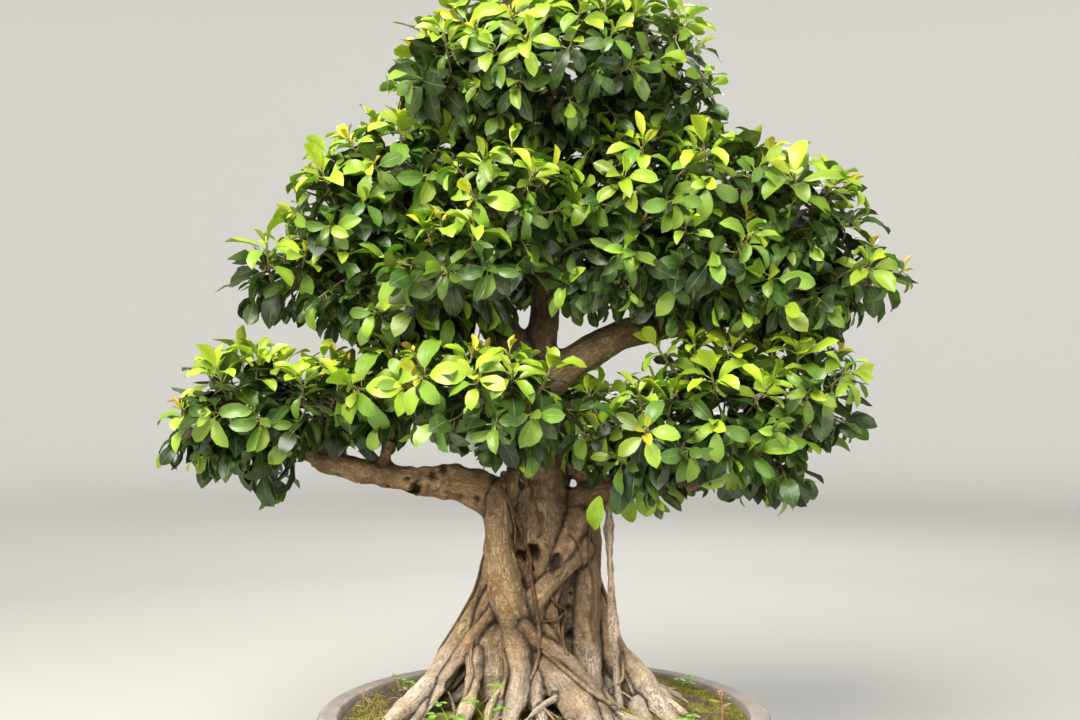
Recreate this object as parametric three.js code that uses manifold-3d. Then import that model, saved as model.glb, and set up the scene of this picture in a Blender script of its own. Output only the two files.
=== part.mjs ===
// Ficus ginseng bonsai: an old fluted trunk on spread roots, with leafy pads on its branches, growing in
// soil in a round shallow pot. Millimetres, +Z up, seen from -Y. The model is laid out round the pot's
// middle, and the whole is then moved so that the origin lies under the middle of its outline.

import * as THREE from 'three';
import { mergeVertices } from 'three/addons/utils/BufferGeometryUtils.js';
import Module from 'manifold-3d';

const wasm = await Module();
wasm.setup();

// Driving dimensions
const CLEARANCE = 0.3; // gap kept between pieces that touch
const BED_ROOM = 0.4; // gap kept round the wood where soil and leaves close in on it
const SLIVER = 0.02; // edges shorter than this, left where shapes cross, are closed up

const POT_RADIUS = 270; // outer edge of the rim
const POT_HEIGHT = 105;
const POT_MOUTH_RADIUS = 246; // inner edge of the flat rim
const POT_FLOOR = 24; // top of the pot's floor
const POT_UNDERSIDE = 12; // bottom of the floor, above the ground
const RIM_DEPTH = 20; // height of the rim's outer face
const RIM_ROUNDING = 9; // from the rim's flat top to its outer edge
const RIM_OVERHANG = 11; // from the rim's outer edge in to the wall under it
const WALL = { lip: 3, bend: 12, foot: 56 }; // how far the inner wall lies inside the mouth, from the soil down
const FOOT_OUTER_RADIUS = 206;
const FOOT_INNER_RADIUS = 182;
const FOOT_NOTCH = { width: 70, height: 9, length: 60 };
const FOOT_NOTCH_COUNT = 4;
const DRAIN_RADIUS = 18;
const POT_SIDES = 36;

const SOIL_EDGE = 95; // height of the soil where it meets the pot
const SOIL_TOP = 121; // height of the mound round the trunk
const SOIL_RINGS = 4;
const SOIL_ROUGHNESS = 3;

const SCREEN = { side: 60, thickness: 1.2, hole: 12, pitch: 17, perSide: 3 };

const LEAF = { length: 56, width: 30, thickness: 1, fold: 0.3, droop: 0.24 };
const LEAF_TILT = { least: 52, spread: 24 }; // degrees off the twig
const LEAF_REACH = { least: 0.9, spread: 0.2 }; // of the whorl's leaf length
const LEAF_SWING = 0.25; // how far a leaf may turn aside, as a share of its sector
const NOTCH_REACH = 0.3; // how far out neighbouring leaves meet, as a share of the leaf's width
const WHORL_SIZE = { least: 0.9, spread: 0.2 };
const WHORL = 5; // leaves in the whorl at the end of each twig
const TWIG = { length: 12, sunk: 22, radius: 3 }; // twig above the skin of its pad, below it, and under its leaves
const SHOOT_SPACING = 80;
const SHOOT_TRIALS = 260; // places tried in each pad
const SHOOT_LIFT = 0.35; // how strongly shoots turn up towards the light
const SHOOT_SPAN = 1.9; // part of a lobe's height, of 2, that bears shoots, from its top down

const CORE_SHARE = 0.9; // size of a pad's core beside the lobes that its shoots stand on
const LARGE_LOBE = 1e6; // lobes with a greater product of half sizes get finer faces
const COARSE_SWELL = 1.1; // a coarse lobe is drawn this much larger, as its faces cut inside its round form

// Sides of a strand's rings, by its greatest radius
const STRAND_SIDES = [
  { from: 22, sides: 8 },
  { from: 12, sides: 6 },
  { from: 7, sides: 5 },
  { from: 0, sides: 4 },
];

// Materials, from the photograph
const clay = new THREE.MeshStandardMaterial({ color: 0x8a7f78, roughness: 0.85, metalness: 0 });
const soilBrown = new THREE.MeshStandardMaterial({ color: 0x4a3d26, roughness: 1, metalness: 0 });
const bark = new THREE.MeshStandardMaterial({ color: 0x937858, roughness: 0.9, metalness: 0 });
const leafGreen = new THREE.MeshStandardMaterial({ color: 0x4f7a2a, roughness: 0.4, metalness: 0 });
const cloverGreen = new THREE.MeshStandardMaterial({ color: 0x809622, roughness: 0.6, metalness: 0 });
const sproutRed = new THREE.MeshStandardMaterial({ color: 0xa0705a, roughness: 0.7, metalness: 0 });
const screenGrey = new THREE.MeshStandardMaterial({ color: 0x2e3230, roughness: 0.7, metalness: 0 });

// Roots, trunk strands and branches: each row is a place on the strand's middle line and its radius, [x, y, z, r]
const STRANDS = {
  core: [[-4, 0, 74, 50], [-5, 3, 115, 64], [-6, 5, 175, 60], [-7, 3, 235, 54], [-7, 2, 295, 48], [-7, 3, 343, 43],
    [-8, 5, 392, 34], [-11, 6, 440, 31], [-16, 6, 482, 29], [-19, 6, 512, 25]],
  leftFlank: [[-54, -8, 357, 17], [-57, -12, 321, 15], [-60, -15, 284, 14], [-69, -18, 245, 14], [-84, -22, 210, 15],
    [-103, -30, 180, 16], [-122, -42, 154, 16], [-148, -58, 130, 14], [-176, -72, 110, 10], [-198, -85, 92, 5]],
  leftFront: [[-48, -30, 363, 16], [-52, -42, 325, 17], [-49, -52, 286, 20], [-42, -60, 246, 21], [-31, -66, 219, 18],
    [-29, -76, 186, 13], [-29, -92, 156, 12], [-36, -112, 130, 11], [-43, -140, 107, 8], [-48, -165, 88, 4]],
  frontDiagonal: [[-31, -66, 227, 14], [-14, -74, 208, 11], [9, -80, 193, 11], [32, -84, 173, 11], [52, -92, 150, 11],
    [62, -108, 129, 11], [68, -130, 108, 9], [73, -155, 90, 4]],
  rightColumn: [[47, 0, 332, 15], [53, -8, 303, 16], [51, -16, 262, 17], [48, -24, 222, 17], [49, -32, 188, 17],
    [54, -42, 161, 15], [62, -60, 131, 12]],
  crossStrand: [[47, -22, 301, 12], [33, -34, 287, 11], [14, -46, 270, 11], [-2, -54, 255, 13], [-13, -58, 241, 14],
    [-15, -60, 217, 10]],
  middleStrand: [[64, 2, 368, 15], [47, -6, 351, 17], [33, -16, 328, 18], [22, -28, 302, 17], [14, -38, 275, 14],
    [7, -46, 249, 12], [9, -50, 216, 11], [14, -56, 182, 11]],
  rightFlank: [[56, 15, 263, 10], [60, 10, 240, 14], [65, 2, 214, 16], [74, -8, 186, 19], [90, -20, 162, 21],
    [114, -35, 140, 19], [134, -52, 119, 13], [152, -70, 98, 7]],
  frontRight: [[1, -60, 200, 16], [7, -72, 177, 19], [20, -88, 156, 20], [37, -108, 136, 19], [50, -135, 116, 15],
    [60, -165, 98, 9], [65, -190, 86, 4]],
  leftCrossing: [[-48, -52, 245, 9], [-68, -50, 219, 8], [-86, -50, 196, 7], [-101, -54, 173, 7], [-116, -60, 155, 6],
    [-125, -70, 135, 6], [-138, -84, 115, 5], [-150, -98, 98, 3]],
  leftInner: [[-77, -52, 181, 10], [-82, -64, 157, 10], [-85, -84, 137, 10], [-93, -108, 118, 9], [-102, -130, 101, 6],
    [-107, -150, 90, 3]],
  leftBulge: [[-55, -30, 241, 20], [-61, -34, 207, 22], [-62, -38, 172, 22], [-59, -44, 144, 18], [-51, -50, 122, 10]],
  forkLeft: [[-37, -78, 163, 6], [-50, -90, 150, 5], [-61, -100, 134, 5], [-64, -116, 118, 4], [-66, -135, 102, 3]],
  forkRight: [[-44, -84, 155, 5], [-47, -98, 140, 5], [-53, -115, 122, 4], [-54, -135, 104, 3]],
  frontMiddle: [[-5, -78, 167, 10], [-8, -92, 150, 9], [-5, -112, 130, 9], [1, -140, 110, 7], [4, -165, 92, 4]],
  frontCrossing: [[24, -104, 153, 4], [4, -112, 142, 5], [-14, -122, 131, 4], [-27, -136, 118, 4], [-36, -152, 100, 3]],
  farRight: [[58, -66, 136, 8], [68, -84, 131, 7], [84, -99, 125, 6], [102, -108, 119, 6], [128, -116, 110, 5], [150, -122, 98, 4]],
  aerialRoot: [[78, -24, 366, 6], [77, -27, 340, 5.5], [77, -30, 300, 5], [79, -32, 250, 5], [82, -36, 200, 5.5],
    [85, -41, 150, 6.5], [86, -44, 118, 7], [87, -46, 96, 4]],
  backLeft: [[-42, 25, 300, 16], [-62, 55, 215, 18], [-80, 88, 152, 16], [-105, 125, 114, 11], [-122, 152, 94, 5]],
  backMiddle: [[0, 35, 300, 18], [2, 60, 225, 21], [5, 85, 160, 20], [10, 120, 119, 14], [14, 158, 94, 6]],
  backRight: [[42, 22, 290, 15], [58, 48, 222, 18], [80, 75, 160, 17], [105, 105, 121, 12], [126, 132, 96, 5]],
  sideLeft: [[-66, 8, 245, 12], [-95, 28, 182, 13], [-130, 46, 131, 12], [-165, 60, 106, 7], [-188, 68, 92, 4]],
  sideRight: [[48, 20, 240, 14], [72, 36, 182, 15], [108, 47, 136, 14], [148, 54, 111, 9], [182, 60, 94, 4]],
  leader: [[-18, 6, 500, 27], [-7, 12, 536, 22], [1, 16, 585, 19], [2, 18, 633, 17], [-1, 18, 682, 15],
    [4, 14, 736, 13], [8, 10, 790, 10], [13, 4, 843, 7], [19, 0, 890, 4]],
  branchLowerLeft: [[-34, 0, 341, 27], [-65, -5, 360, 26], [-94, -12, 375, 22], [-124, -18, 380, 19],
    [-153, -22, 384, 16], [-182, -26, 387, 14], [-217, -30, 394, 13], [-252, -34, 403, 12], [-298, -36, 418, 10],
    [-345, -36, 435, 8], [-385, -34, 446, 5]],
  branchLowerRight: [[26, 0, 346, 22], [57, -12, 362, 17], [87, -28, 372, 14], [125, -34, 376, 13],
    [172, -34, 381, 11], [225, -30, 394, 9], [282, -24, 414, 6]],
  branchUpperRight: [[-10, 2, 486, 25], [22, 0, 512, 23], [58, 2, 536, 22], [98, 4, 555, 19], [140, 4, 564, 16],
    [194, 2, 570, 13], [253, 0, 582, 10], [313, -4, 602, 8], [360, -6, 616, 5]],
  branchUpperLeft: [[-16, 6, 510, 26], [-41, 4, 542, 24], [-59, 2, 572, 21], [-75, 2, 594, 17], [-103, 2, 606, 13],
    [-149, 0, 612, 11], [-203, -2, 618, 9], [-256, -6, 626, 7], [-306, -8, 630, 4]],
  branchUpperFront: [[-40, 4, 545, 15], [-62, -25, 585, 12], [-82, -60, 615, 9], [-93, -88, 636, 6]],
  branchLowerFront: [[-12, 0, 440, 18], [-18, -35, 452, 15], [-30, -75, 465, 11], [-40, -110, 478, 7],
    [-45, -133, 484, 5]],
  branchLowerBack: [[-14, 10, 445, 18], [-22, 45, 450, 14], [-34, 85, 462, 10], [-46, 125, 475, 6]],
  branchUpperBack: [[0, 16, 575, 16], [12, 45, 605, 13], [25, 80, 640, 10], [34, 115, 670, 6]],
  branchTopLeft: [[1, 16, 640, 13], [-40, 16, 668, 11], [-90, 14, 700, 9], [-135, 12, 733, 7], [-165, 10, 752, 4]],
  branchTopRight: [[-1, 18, 665, 13], [40, 8, 688, 11], [85, -10, 702, 9], [130, -18, 716, 6], [172, -14, 726, 4]],
  forkUpperRight: [[128, 4, 562, 11], [158, -18, 596, 8], [172, -36, 630, 5]],
  forkLowerRight: [[122, -34, 377, 9], [162, -34, 408, 7], [202, -32, 438, 4]],
  forkLowerLeft: [[-196, -28, 389, 9], [-180, -34, 430, 7], [-174, -42, 476, 4]],
  forkOuterLeft: [[-256, -34, 404, 9], [-264, -36, 438, 6], [-262, -36, 464, 4]],
};

// Leafy pads: each row is a lobe that shoots grow from, its middle and its half sizes, [x, y, z, rx, ry, rz]
const PADS = {
  foliage_crown: [[14, 0, 868, 122, 113, 74], [-104, -10, 858, 50, 74, 44], [132, 5, 896, 38, 64, 38],
    [-62, 20, 912, 44, 70, 32], [152, 5, 838, 36, 54, 30]],
  foliage_upper_left: [[-172, 10, 750, 72, 78, 42], [-236, 0, 692, 48, 70, 52], [-308, -5, 626, 54, 54, 18],
    [-224, -10, 618, 58, 64, 32], [-139, 30, 692, 48, 62, 44], [-132, 0, 600, 56, 56, 22]],
  foliage_upper_front: [[-92, -98, 634, 60, 50, 32], [-44, -82, 700, 52, 50, 48]],
  foliage_upper_right: [[108, -30, 718, 62, 72, 56], [208, -5, 730, 68, 80, 42], [302, 0, 695, 50, 74, 50],
    [376, 0, 620, 40, 50, 22], [173, -45, 642, 80, 54, 40], [296, -5, 616, 60, 62, 36], [76, -52, 650, 42, 46, 42]],
  foliage_lower_left: [[-350, -25, 470, 54, 78, 40], [-396, -30, 446, 34, 52, 19], [-350, -25, 426, 36, 54, 28],
    [-264, -35, 472, 56, 72, 32], [-172, -45, 490, 60, 64, 28]],
  foliage_lower_front: [[-46, -132, 478, 66, 48, 38], [-108, -116, 504, 36, 40, 20]],
  foliage_lower_right: [[130, -52, 436, 54, 60, 38], [213, -30, 458, 60, 78, 54], [300, -10, 486, 54, 70, 46],
    [266, -25, 418, 42, 56, 26], [112, -60, 402, 28, 32, 24]],
  foliage_lower_back: [[-50, 134, 476, 76, 60, 38], [28, 126, 450, 46, 50, 40]],
  foliage_upper_back: [[37, 126, 682, 82, 54, 50], [-36, 122, 656, 46, 46, 32]],
};

// Small weeds in the soil: where each stands, its height, its leaflets' length and which way it leans
const CLOVERS = {
  clover_front: { x: -58, y: -186, height: 30, leaflet: 15, heading: 3.6 },
  clover_left: { x: -112, y: -142, height: 26, leaflet: 13, heading: 2.4 },
};
const SPROUT = { x: 205, y: -62, height: 36, radius: 1.4, leaflet: 17 };
const WEED_HOLE = { radius: 3.2, depth: 11.5 };
const WEED_ROOT = 10; // how deep a weed's stem stands in the soil

const PLASTIC = 1.2207440846057596; // the root that spreads points evenly over three ranges

const UP = new THREE.Vector3(0, 0, 1);

const fraction = (value) => value - Math.floor(value);
const scatter = (index, salt) => fraction(Math.sin(index * 12.9898 + salt * 78.233) * 43758.5453);
const degrees = THREE.MathUtils.degToRad;

// Turns a closed geometry into a solid that can be joined and cut
function solid(geometry) {
  const plain = geometry.clone();
  plain.deleteAttribute('normal');
  plain.deleteAttribute('uv');
  const merged = mergeVertices(plain, 1e-3);
  const triVerts = Uint32Array.from(merged.index.array);
  const vertProperties = Float32Array.from(merged.attributes.position.array);
  return new wasm.Manifold(new wasm.Mesh({ numProp: 3, vertProperties, triVerts }));
}

// Turns a solid into a named mesh
function piece(name, shape, material) {
  const { vertProperties, triVerts } = shape.simplify(SLIVER).getMesh();
  const geometry = new THREE.BufferGeometry();
  geometry.setAttribute('position', new THREE.BufferAttribute(vertProperties, 3));
  geometry.setIndex(new THREE.BufferAttribute(triVerts, 1));
  geometry.computeVertexNormals();
  const mesh = new THREE.Mesh(geometry, material);
  mesh.name = name;
  return mesh;
}

const join = (shapes) => shapes.reduce((whole, shape) => whole.add(shape));

// The largest connected body of a solid, without loose scraps
function mainBody(shape) {
  const bodies = shape.decompose();
  return bodies.reduce((best, body) => (body.volume() > best.volume() ? body : best));
}

// A closed geometry from rings of corners, closed by one point before the first ring and one after the last
function ringsGeometry(rings, firstPoint, lastPoint) {
  const sides = rings[0].length;
  const points = [...rings.flat(), firstPoint, lastPoint];
  const first = points.length - 2;
  const last = points.length - 1;
  const index = [];
  for (let ring = 0; ring < rings.length - 1; ring += 1) {
    for (let side = 0; side < sides; side += 1) {
      const a = ring * sides + side;
      const b = ring * sides + ((side + 1) % sides);
      index.push(a, b, b + sides, a, b + sides, a + sides);
    }
  }
  const top = (rings.length - 1) * sides;
  for (let side = 0; side < sides; side += 1) {
    const next = (side + 1) % sides;
    index.push(first, next, side);
    index.push(last, top + side, top + next);
  }
  const geometry = new THREE.BufferGeometry().setFromPoints(points);
  geometry.setIndex(index);
  return geometry;
}

// A tapering strand: rings carried along a smooth curve through its places, each with the radius there
function strand(rows, grow) {
  const places = rows.map(([x, y, z]) => new THREE.Vector3(x, y, z));
  const curve = new THREE.CatmullRomCurve3(places, false, 'catmullrom', 0.5);
  const spans = rows.length - 1;
  const greatest = Math.max(...rows.map((row) => row[3]));
  const { sides } = STRAND_SIDES.find(({ from }) => greatest >= from);
  const frames = curve.computeFrenetFrames(spans, false);
  const rings = frames.tangents.map((tangent, step) => {
    const along = curve.getUtoTmapping(step / spans) * spans;
    const row = Math.min(Math.floor(along), spans - 1);
    const radius = THREE.MathUtils.lerp(rows[row][3], rows[row + 1][3], along - row) + grow;
    const middle = curve.getPointAt(step / spans);
    return Array.from({ length: sides }, (_, side) => {
      const angle = (2 * Math.PI * side) / sides;
      return middle.clone()
        .addScaledVector(frames.normals[step], radius * Math.cos(angle))
        .addScaledVector(frames.binormals[step], radius * Math.sin(angle));
    });
  });
  const startPoint = places[0].clone().addScaledVector(frames.tangents[0], -rows[0][3] / 2 - grow);
  const endPoint = places[spans].clone().addScaledVector(frames.tangents[spans], rows[spans][3] / 2 + grow);
  return ringsGeometry(rings, startPoint, endPoint);
}

// The whole woody body, or with grow above 0 a larger one that cuts its bed in the soil and the pads
const woodyBody = (grow) => join(Object.values(STRANDS).map((rows) => solid(strand(rows, grow))));

// The pot's inner wall from the soil line down to the middle of the floor, drawn in by an inset
function bowlOutline(inset) {
  const mouth = POT_MOUTH_RADIUS - inset;
  const floor = POT_FLOOR + inset;
  const wall = new THREE.Path();
  wall.moveTo(mouth - WALL.lip, SOIL_EDGE);
  wall.quadraticCurveTo(mouth - WALL.bend, floor, mouth - WALL.foot, floor);
  wall.lineTo(0, floor);
  return wall.getPoints(3);
}

// The pot: a turned bowl with a flat rim rounded at its outer edge, on a notched foot ring, with one drain
function pot() {
  const rimFoot = POT_HEIGHT - RIM_DEPTH;
  const wallTop = POT_RADIUS - RIM_OVERHANG;
  const outside = new THREE.Path();
  outside.moveTo(0, POT_UNDERSIDE);
  outside.lineTo(FOOT_INNER_RADIUS, POT_UNDERSIDE);
  outside.lineTo(FOOT_INNER_RADIUS + 2, 0);
  outside.lineTo(FOOT_OUTER_RADIUS, 0);
  outside.lineTo(FOOT_OUTER_RADIUS + 4, POT_UNDERSIDE + 2);
  outside.quadraticCurveTo(wallTop - 9, POT_FLOOR, wallTop - 2, rimFoot - 4);
  outside.lineTo(wallTop, rimFoot);
  outside.quadraticCurveTo(POT_RADIUS, rimFoot, POT_RADIUS, POT_HEIGHT - RIM_DEPTH / 2);
  outside.quadraticCurveTo(POT_RADIUS, POT_HEIGHT, POT_RADIUS - RIM_ROUNDING, POT_HEIGHT);
  outside.lineTo(POT_MOUTH_RADIUS, POT_HEIGHT);
  const profile = [...outside.getPoints(2), ...bowlOutline(0)];
  const body = solid(new THREE.LatheGeometry(profile, POT_SIDES).rotateX(Math.PI / 2));

  const notches = Array.from({ length: FOOT_NOTCH_COUNT }, (_, index) => {
    const notch = new THREE.BoxGeometry(FOOT_NOTCH.length, FOOT_NOTCH.width, 2 * FOOT_NOTCH.height);
    notch.translate((FOOT_INNER_RADIUS + FOOT_OUTER_RADIUS) / 2, 0, 0);
    notch.rotateZ(((index + 0.5) * 2 * Math.PI) / FOOT_NOTCH_COUNT);
    return solid(notch);
  });
  const drain = new THREE.CylinderGeometry(DRAIN_RADIUS, DRAIN_RADIUS, 2 * POT_FLOOR, 20);
  drain.rotateX(Math.PI / 2).translate(0, 0, POT_FLOOR);
  return body.subtract(join([...notches, solid(drain)]));
}

// Height of the soil's surface at a place: a mound that falls off towards the pot, with low cushions on it
function soilHeight(x, y) {
  const out = Math.min(Math.hypot(x, y) / (POT_MOUTH_RADIUS - WALL.lip), 1);
  const mound = SOIL_EDGE + (SOIL_TOP - SOIL_EDGE) * Math.cos((out * Math.PI) / 2) ** 0.8;
  const broad = Math.sin(x * 0.047 + 1.1) * Math.cos(y * 0.052 - 0.6);
  const small = Math.sin(x * 0.11 - y * 0.09 + 2.3);
  return mound + SOIL_ROUGHNESS * (broad + 0.6 * small) * (1 - out ** 6);
}

// The soil: it fills the pot to just clear of its wall, lies over the drain screen and is bedded round the roots
function soil(rootBed, weedHoles) {
  const bed = bowlOutline(CLEARANCE).reverse();
  const edge = bed.at(-1).x;
  const top = Array.from({ length: SOIL_RINGS }, (_, ring) => (
    new THREE.Vector2(edge * (1 - (ring + 1) / SOIL_RINGS), SOIL_TOP)
  ));
  const mound = new THREE.LatheGeometry([...bed, ...top], POT_SIDES).rotateX(Math.PI / 2);
  const place = mound.attributes.position;
  for (let corner = 0; corner < place.count; corner += 1) {
    if (place.getZ(corner) > SOIL_TOP - 1) {
      place.setZ(corner, soilHeight(place.getX(corner), place.getY(corner)));
    }
  }
  const pocketSide = SCREEN.side + 2 * CLEARANCE;
  const pocketHeight = SCREEN.thickness + 2 * CLEARANCE;
  const pocket = new THREE.BoxGeometry(pocketSide, pocketSide, 2 * pocketHeight).translate(0, 0, POT_FLOOR);
  return mainBody(solid(mound).subtract(join([rootBed, solid(pocket), ...weedHoles])));
}

// The drain screen: a square of plastic mesh that lies on the floor over the drain
function drainScreen() {
  const { side, thickness, hole, pitch, perSide } = SCREEN;
  const height = POT_FLOOR + CLEARANCE + thickness / 2;
  const places = Array.from({ length: perSide }, (_, index) => (index - (perSide - 1) / 2) * pitch);
  const openings = places.flatMap((x) => places.map((y) => (
    solid(new THREE.BoxGeometry(hole, hole, 3 * thickness).translate(x, y, height))
  )));
  const plate = solid(new THREE.BoxGeometry(side, side, thickness).translate(0, 0, height));
  return plate.subtract(join(openings));
}

// A whorl of leaves on a pointed stem. Each leaf is folded along its midrib, widest at its middle and bent
// down at its tip, and its neighbours meet it in a notch. The underside is the upper side moved down by the
// leaf's thickness, and runs together into the stem, which ends in a point.
function whorl({ centre, axis, seed, count, size, stem, stemRadius }) {
  const sideways = new THREE.Vector3(0.3, 0.95, 0).cross(axis).normalize();
  const other = new THREE.Vector3().crossVectors(axis, sideways);
  const length = LEAF.length * size;
  const width = LEAF.width * size;
  const sector = (2 * Math.PI) / count;
  const start = 2 * Math.PI * scatter(seed, 1);
  const round = (turn) => (
    sideways.clone().multiplyScalar(Math.cos(turn)).addScaledVector(other, Math.sin(turn))
  );
  const leaning = (turn, share) => {
    const tilt = degrees(LEAF_TILT.least + LEAF_TILT.spread * share);
    return axis.clone().multiplyScalar(Math.cos(tilt)).addScaledVector(round(turn), Math.sin(tilt));
  };
  const points = [centre.clone(), centre.clone().addScaledVector(axis, -stem)];
  for (let number = 0; number < count; number += 1) {
    const turn = start + sector * (number + LEAF_SWING * (scatter(seed, 10 + number) - 0.5));
    const reach = length * (LEAF_REACH.least + LEAF_REACH.spread * scatter(seed, 20 + number));
    const along = leaning(turn, scatter(seed, 30 + number));
    const above = axis.clone().addScaledVector(along, -along.dot(axis)).normalize();
    const across = round(turn + Math.PI / 2);
    const edge = (side) => centre.clone().addScaledVector(along, reach / 2)
      .addScaledVector(across, (side * width) / 2).addScaledVector(above, (LEAF.fold * width) / 2);
    const gap = start + sector * (number - 0.5);
    const notch = centre.clone().addScaledVector(leaning(gap, 0.5), width * NOTCH_REACH);
    const tip = centre.clone().addScaledVector(along, reach).addScaledVector(above, -LEAF.droop * reach);
    const collar = centre.clone().addScaledVector(round(gap), stemRadius).addScaledVector(axis, -stemRadius);
    const upper = [notch, edge(-1), edge(1)];
    const lower = upper.map((corner) => corner.clone().addScaledVector(axis, -LEAF.thickness));
    points.push(...upper, ...lower, tip, collar);
  }
  const index = [];
  const perLeaf = 8;
  for (let number = 0; number < count; number += 1) {
    const leafStart = 2 + number * perLeaf;
    const [notch, right, left, notchUnder, rightUnder, leftUnder, tip, collar] = (
      Array.from({ length: perLeaf }, (_, corner) => leafStart + corner)
    );
    const nextStart = 2 + ((number + 1) % count) * perLeaf;
    const nextNotch = nextStart;
    const nextNotchUnder = nextStart + 3;
    const nextCollar = nextStart + 7;
    index.push(0, notch, right, 0, right, tip, 0, tip, left, 0, left, nextNotch);
    index.push(collar, rightUnder, notchUnder, collar, tip, rightUnder, collar, nextCollar, tip);
    index.push(nextCollar, leftUnder, tip, nextCollar, nextNotchUnder, leftUnder, collar, 1, nextCollar);
    index.push(notch, notchUnder, rightUnder, notch, rightUnder, right, right, rightUnder, tip);
    index.push(left, tip, leftUnder, left, leftUnder, nextNotchUnder, left, nextNotchUnder, nextNotch);
  }
  const geometry = new THREE.BufferGeometry().setFromPoints(points);
  geometry.setIndex(index);
  return geometry;
}

// Places and directions of a pad's shoots, spread over those parts of its lobes that lie outside the others
// and kept a spacing apart
function shoots(lobes) {
  const areas = lobes.map(([, , , rx, ry, rz]) => rx * ry + rx * rz + ry * rz);
  const total = areas.reduce((sum, area) => sum + area, 0);
  const found = [];
  for (let trial = 1; trial <= SHOOT_TRIALS; trial += 1) {
    let pick = fraction(trial / PLASTIC) * total;
    const chosen = Math.max(0, areas.findIndex((area) => {
      pick -= area;
      return pick < 0;
    }));
    const [x, y, z, rx, ry, rz] = lobes[chosen];
    const turn = 2 * Math.PI * fraction(trial / PLASTIC ** 2);
    const height = 1 - SHOOT_SPAN * fraction(trial / PLASTIC ** 3);
    const flat = Math.sqrt(1 - height * height);
    const unit = new THREE.Vector3(flat * Math.cos(turn), flat * Math.sin(turn), height);
    const place = new THREE.Vector3(x + rx * unit.x, y + ry * unit.y, z + rz * unit.z);
    const hidden = lobes.some(([ox, oy, oz, orx, ory, orz], other) => (
      other !== chosen && Math.hypot((place.x - ox) / orx, (place.y - oy) / ory, (place.z - oz) / orz) < 1
    ));
    const crowded = found.some((shoot) => shoot.place.distanceTo(place) < SHOOT_SPACING);
    if (!hidden && !crowded) {
      const outward = new THREE.Vector3(unit.x / rx, unit.y / ry, unit.z / rz).normalize();
      const axis = outward.add(new THREE.Vector3(0, 0, SHOOT_LIFT)).normalize();
      found.push({ seed: trial, place, axis });
    }
  }
  return found;
}

// The whorl of leaves on the twig of one shoot
function shootWhorl({ seed, place, axis }) {
  const centre = place.clone().addScaledVector(axis, TWIG.length);
  const size = WHORL_SIZE.least + WHORL_SIZE.spread * scatter(seed, 3);
  const stem = TWIG.length + TWIG.sunk;
  return solid(whorl({ centre, axis, seed, count: WHORL, size, stem, stemRadius: TWIG.radius }));
}

const volumeShared = (one, two) => one.intersect(two).volume();

// A pad's core: its joined lobes, drawn smaller than the ones its shoots stand on
function padCore(lobes) {
  return join(lobes.map(([x, y, z, rx, ry, rz]) => {
    const fine = rx * ry * rz > LARGE_LOBE;
    const size = fine ? CORE_SHARE : CORE_SHARE * COARSE_SWELL;
    return solid(new THREE.IcosahedronGeometry(size, fine ? 1 : 0).scale(rx, ry, rz).translate(x, y, z));
  }));
}

// A leafy pad: whorls of leaves on twigs that stand out of its core, with a bed for the branch that carries
// it. A whorl that would cross wood or another pad is left out.
function pad(lobes, branchBed, neighbours) {
  const room = join([branchBed, ...neighbours]);
  const core = padCore(lobes).subtract(room);
  const clear = shoots(lobes).map(shootWhorl).filter((leaves) => volumeShared(leaves, room) === 0);
  return mainBody(join([core, ...clear]));
}

// A small weed: a thin stem through its places, with three leaflets on top
function weed(places, leaflet, seed) {
  const [x, y, z, stemRadius] = places.at(-1);
  const centre = new THREE.Vector3(x, y, z);
  const size = leaflet / LEAF.length;
  const leaves = whorl({ centre, axis: UP, seed, count: 3, size, stem: 6, stemRadius: stemRadius + 0.5 });
  return mainBody(solid(strand(places, 0)).add(solid(leaves)));
}

// A clover plant: its stalk leans over and thins towards its three-part leaf
function clover({ x, y, height, leaflet, heading }) {
  const ground = soilHeight(x, y);
  const leaning = (share) => [x + share * height * Math.cos(heading), y + share * height * Math.sin(heading)];
  const stalk = [
    [x, y, ground - WEED_ROOT, 1.5],
    [...leaning(0.1), ground + height * 0.4, 1.2],
    [...leaning(0.45), ground + height, 1],
  ];
  return weed(stalk, leaflet, 0);
}

// The sprout: one thin upright stem with a few small leaves at its tip
function sprout({ x, y, height, radius, leaflet }) {
  const ground = soilHeight(x, y);
  const stem = [
    [x, y, ground - WEED_ROOT, radius],
    [x + 1, y, ground + height / 2, radius],
    [x - 1, y - 1, ground + height, radius * 0.7],
  ];
  return weed(stem, leaflet, 7);
}

// The hole in the soil that a weed's stem stands in
function weedHole({ x, y }) {
  const { radius, depth } = WEED_HOLE;
  const hole = new THREE.CylinderGeometry(radius, radius, 2 * depth, 6).rotateX(Math.PI / 2);
  return solid(hole.translate(x, y, soilHeight(x, y)));
}

const wood = woodyBody(0);
const bed = woodyBody(BED_ROOM);

const bonsai = new THREE.Group();
bonsai.add(piece('pot', pot(), clay));
bonsai.add(piece('drain_screen', drainScreen(), screenGrey));
bonsai.add(piece('soil', soil(bed, [...Object.values(CLOVERS), SPROUT].map(weedHole)), soilBrown));
bonsai.add(piece('trunk', mainBody(wood), bark));

for (const [name, plant] of Object.entries(CLOVERS)) {
  bonsai.add(piece(name, clover(plant), cloverGreen));
}
bonsai.add(piece('sprout', sprout(SPROUT), sproutRed));

const neighbours = [];
for (const [name, lobes] of Object.entries(PADS)) {
  const shape = pad(lobes, bed, neighbours);
  neighbours.push(shape);
  bonsai.add(piece(name, shape, leafGreen));
}

const outline = new THREE.Box3().setFromObject(bonsai);
const middle = outline.getCenter(new THREE.Vector3());
bonsai.position.set(-middle.x, -middle.y, 0);

export default bonsai;
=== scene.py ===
"""Ficus ginseng bonsai: its looks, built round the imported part. Working sizes are millimetres from the pot's
middle, and meshes are written in metres in the row frame."""

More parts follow.
